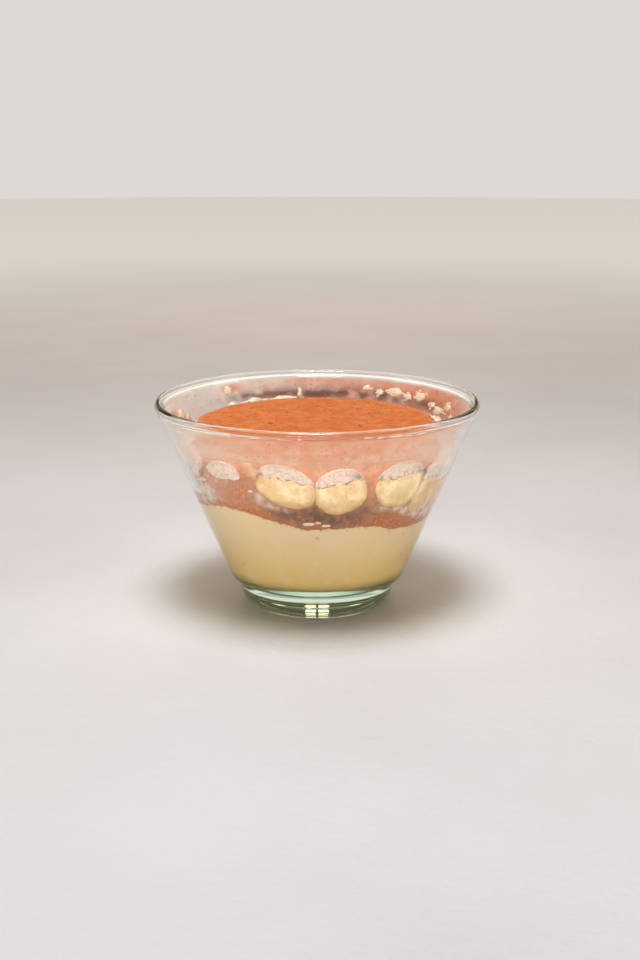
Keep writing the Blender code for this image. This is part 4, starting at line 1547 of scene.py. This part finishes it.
@dataclass(frozen=True)
class LooseGrains:
    """Loose grains of cocoa: on the dusting, round the pile's shoulder and at the layers' edge."""

    strata: Strata
    top_z: float
    top_radius: float = 0.0440
    on_top: int = 800
    on_glass: int = 420
    at_edge: int = 1500

    def top_grains(self, draw: np.random.Generator) -> np.ndarray:
        """Places of the grains on the dusting, even over its area."""
        radius = self.top_radius * np.sqrt(draw.random(self.on_top))
        azimuth = draw.uniform(0.0, 360.0, self.on_top)
        return on_circle(radius, azimuth, self.top_z + draw.normal(0.0, 0.00008, self.on_top))

    def glass_grains(self, draw: np.random.Generator) -> np.ndarray:
        """Places of the grains that stick to the inside of the wall above the contents."""
        z = self.top_z - 0.004 + 0.0095 * draw.beta(1.2, 2.0, self.on_glass)
        azimuth = draw.uniform(0.0, 360.0, self.on_glass)
        return on_circle(self.strata.bowl.wall_radius(z) - 0.0001, azimuth, z)

    def edge_grains(self, draw: np.random.Generator) -> np.ndarray:
        """Places of the grains that fray the lower edge of the cocoa layer against the glass."""
        azimuth = draw.uniform(0.0, 360.0, self.at_edge)
        edge = np.interp(azimuth, self.strata.azimuths, self.strata.cream_edge(), period=360.0)
        z = edge - draw.exponential(0.00038, self.at_edge) + 0.0003
        return on_circle(self.strata.bowl.cavity_radius(z) + 0.00010, azimuth, z)

    def build(self, effects: Effects) -> None:
        """Make each kind as one joined piece."""
        material = PowderFinish().build(effects)
        draw = np.random.default_rng(SEED)
        kinds = (("cocoa_grains_top", self.top_grains(draw), 0.00016, 0.5),
                 ("cocoa_grains_glass", self.glass_grains(draw), 0.00012, 0.5),
                 ("cocoa_grains_edge", self.edge_grains(draw), 0.00015, 0.35))
        for name, centres, size, spread in kinds:
            count = len(centres)
            sizes = size * draw.lognormal(0.0, spread, count)[:, None] * draw.uniform(
                0.7, 1.2, (count, 3))
            turns = np.repeat(np.eye(3)[None], count, axis=0)
            install(strew(name, centres, np.minimum(sizes, 3.0 * size), turns, 1), material,
                    Slot.POWDER)


@dataclass(frozen=True)
class WallFilm:
    """The film of cocoa dust on the inside of the wall, from beside the pile to below the rim."""

    strata: Strata
    low_z: float = 0.0475
    high_z: float = 0.0753
    front_low_z: float = 0.0622     # where the dust begins in front
    rest_low_z: float = 0.0490      # and elsewhere
    clear: float = 0.00006          # off the glass
    thick: float = 0.00005
    rows: int = 60
    segments: int = 480
    base: float = 0.38
    spots: tuple[Patch, ...] = (
        Patch(0, 67.5, 60, 5, 0.44), Patch(165, 71, 50, 7, 0.30), Patch(122, 70, 30, 7, 0.40),
        Patch(-84, 60, 20, 13, 0.42), Patch(84, 60, 20, 13, 0.42), Patch(-141, 72.4, 5, 1.6, 0.5),
        Patch(-118, 70, 20, 6, -0.12), Patch(-100, 66.5, 9, 2.5, 0.3))
    warm: tuple[Patch, ...] = (
        Patch(0, 70, 64, 10, 0.70), Patch(165, 71, 52, 12, 0.90), Patch(120, 69, 34, 12, 1.0),
        Patch(-141, 72.4, 5, 1.6, 1.0), Patch(-104, 67.0, 7, 2.2, 0.9), Patch(-96, 70.0, 6, 1.6, 0.9))
    # painted shade: where the dark band above the pile at the back lies
    gap_shade: tuple[Patch, ...] = (
        Patch(180, 68.6, 34, 2.8, 1.0), Patch(150, 68.8, 22, 2.4, 0.9),
        Patch(126, 68.4, 12, 1.6, 0.8), Patch(-150, 69.0, 16, 1.6, 0.8))

    def build(self, effects: Effects) -> None:
        """Turn a thin closed band and give each point its thickness of dust."""
        azimuth = np.arange(self.segments) * 360.0 / self.segments
        z = np.linspace(self.low_z, self.high_z, self.rows)[:, None] + 0.0 * azimuth[None, :]
        radius = self.strata.bowl.wall_radius(z) - self.clear
        angles = azimuth[None, :] + 0.0 * z
        outer = on_circle(radius, angles, z)
        cover = self.base + sum(s.cover(angles, z) for s in self.spots)
        # painted shade: the film turns dark and nearly opaque here, for the shadowed gap behind the pile
        gap_shade = patch_cover(self.gap_shade, angles, z) * smooth_step(
            -0.75, 0.2, noise_field(outer, 0.004, 2, 14.0))
        front = np.exp(-(np.abs(angle_between(angles, 0.0)) / 62.0) ** 6)
        begin = self.rest_low_z + (self.front_low_z - self.rest_low_z) * front
        ends = np.clip((z - begin) / 0.0060, 0.0, 1.0)
        ends = ends * ends * (3.0 - 2.0 * ends)
        ends = ends * (1.0 - smooth_step(self.high_z - 0.0012, self.high_z, z))
        cover = np.maximum(cover, 1.1 * gap_shade) * ends
        piece = make_object("cocoa_film", outer.reshape(-1, 3), ring_quads(*z.shape),
                            {Mask.FILM: cover.ravel(), Mask.GAP_SHADE: gap_shade.ravel(),
                             Mask.POWDER: patch_cover(self.warm, angles, z).ravel()})
        install(piece, FilmFinish().build(effects), Slot.POWDER)


# ---- studio ----------------------------------------------------------------------------------------
@dataclass(frozen=True)
class SoftBox:
    """A flat studio lamp, aimed at the dessert."""

    name: str
    place: tuple[float, float, float]
    width: float
    height: float
    power: float
    tone: Tone = (255, 250, 242)
    seen_through_glass: bool = True

    def build(self, target: Vector) -> None:
        """Hang the lamp and turn it to the target."""
        data = bpy.data.lights.new(self.name, "AREA")
        data.shape = "RECTANGLE"
        data.size = self.width
        data.size_y = self.height
        data.energy = self.power
        data.color = linear(self.tone)[:3]
        lamp = bpy.data.objects.new(self.name, data)
        lamp.location = self.place
        aim = target - Vector(self.place)
        lamp.rotation_euler = aim.to_track_quat("-Z", "Y").to_euler()
        lamp.visible_transmission = self.seen_through_glass
        bpy.context.scene.collection.objects.link(lamp)


@dataclass(frozen=True)
class Studio:
    """Pale floor, soft lamps, even surroundings and the camera."""

    floor_z: float = -0.0002
    floor_radius: float = 3.0
    camera_place: tuple[float, float, float] = (0.0, -0.4848, 0.1746)
    camera_down: float = 0.2594     # radians below level
    camera_right: float = 0.0023    # radians to the right of +Y
    lens: float = 50.0
    sensor: float = 36.0
    backdrop: Tone = (222, 217, 213)
    backdrop_strength: float = 1.0
    fill_strength: float = 0.19
    mirrored_gain: float = 1.00     # how much more the surroundings show in reflections
    overhead: Tone = (255, 236, 212)
    horizon: Tone = (96, 80, 62)
    ground: Tone = (250, 240, 228)
    lamps: tuple[SoftBox, ...] = (
        SoftBox("lamp_key", (-0.02, -0.14, 0.72), 0.24, 0.24, 4.4, (242, 247, 255)),
        SoftBox("lamp_front", (-0.16, -2.80, 0.32), 1.85, 1.05, 37.0, (255, 252, 248), False),
        SoftBox("lamp_rim", (0.0, 0.75, 0.70), 1.60, 0.20, 1.8, (255, 244, 230)),
        SoftBox("lamp_left", (-2.55, -0.60, 0.45), 1.15, 0.85, 11.5, (255, 250, 242), False),
        SoftBox("lamp_right", (2.55, -0.60, 0.45), 1.15, 0.85, 14.0, (255, 250, 242), False),
        SoftBox("lamp_behind_left", (-0.052, 0.90, 0.40), 0.085, 0.28, 0.19, (255, 218, 190)),
        SoftBox("lamp_behind_right", (0.052, 0.90, 0.40), 0.085, 0.28, 0.19, (255, 218, 190)))

    def floor(self, effects: Effects) -> None:
        """A round floor, far wider than the view."""
        angle = np.radians(np.arange(96) * 3.75)
        points = [(self.floor_radius * math.cos(a), self.floor_radius * math.sin(a), self.floor_z)
                  for a in angle]
        piece = make_object("studio_floor", np.array(points), [tuple(range(96))], {})
        material = FloorFinish().build(effects)
        material.cycles.emission_sampling = "NONE"
        piece.data.materials.append(material)

    def world(self) -> None:
        """Surroundings that are bright overhead and darker towards the horizon."""
        world = bpy.data.worlds.new("studio_world")
        world.use_nodes = True
        bpy.context.scene.world = world
        sheet = NodeSheet(world.node_tree)
        across = sheet.add("ShaderNodeTexCoord").outputs["Generated"]
        height = sheet.add("ShaderNodeSeparateXYZ", {0: across}).outputs["Z"]
        low = sheet.mix(sheet.band(height, 0.08, 0.20), self.ground, self.horizon)
        shade = sheet.mix(sheet.band(height, 0.45, 0.90), low, self.overhead)
        path = sheet.add("ShaderNodeLightPath")
        gain = sheet.math("MULTIPLY", path.outputs["Is Glossy Ray"], self.mirrored_gain)
        strength = sheet.math("ADD", gain, self.fill_strength)
        fill = sheet.add("ShaderNodeBackground", {"Color": shade, "Strength": strength})
        plain = sheet.add("ShaderNodeBackground", {
            "Color": linear(self.backdrop), "Strength": self.backdrop_strength})
        both = sheet.add("ShaderNodeMixShader", {
            0: path.outputs["Is Camera Ray"], 1: fill.outputs[0], 2: plain.outputs[0]})
        target = world.node_tree.nodes["World Output"].inputs["Surface"]
        world.node_tree.links.new(both.outputs[0], target)

    def camera(self) -> None:
        """The camera, level and a little above the rim."""
        data = bpy.data.cameras.new("camera")
        data.lens = self.lens
        data.sensor_width = self.sensor
        data.clip_start = 0.01
        camera = bpy.data.objects.new("camera", data)
        camera.location = self.camera_place
        camera.rotation_euler = (math.pi / 2 - self.camera_down, 0.0, -self.camera_right)
        bpy.context.scene.collection.objects.link(camera)
        bpy.context.scene.camera = camera

    def build(self, effects: Effects, target: Vector) -> None:
        """Set up everything around the part."""
        self.floor(effects)
        self.world()
        self.camera()
        for lamp in self.lamps:
            lamp.build(target)
        bpy.context.scene.view_settings.view_transform = "Standard"


# ---- the whole -------------------------------------------------------------------------------------
def main() -> None:
    """Build the bowl, its contents and the studio."""
    logging.basicConfig(level=logging.INFO, format="%(message)s")
    effects = Effects()
    _, bowl_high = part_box("glass_bowl")
    bowl = GlassBowl(height=bowl_high.z, rim_radius=bowl_high.x)
    strata = Strata(bowl, pile_top=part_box("top_cream")[1].z)
    dusting_low, dusting_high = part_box("cocoa_dusting")
    bowl.build()
    BottomCream(strata).build(effects)
    CocoaLayer(strata).build(effects)
    TopCream(strata).build(effects)
    LadyfingerRow(strata).build(effects)
    dusting = CocoaDusting(strata, dusting_low.z, strata.pile_top + 0.0013 - dusting_low.z)
    dusting.build(effects)
    CreamTraces(strata, lip_z=dusting_high.z - 0.0004).build(effects)
    LooseGrains(strata, top_z=dusting_low.z + dusting.thickness).build(effects)
    WallFilm(strata).build(effects)
    Studio().build(effects, Vector((0.0, 0.0, bowl.height / 2)))


if __name__ == "__main__":
    main()
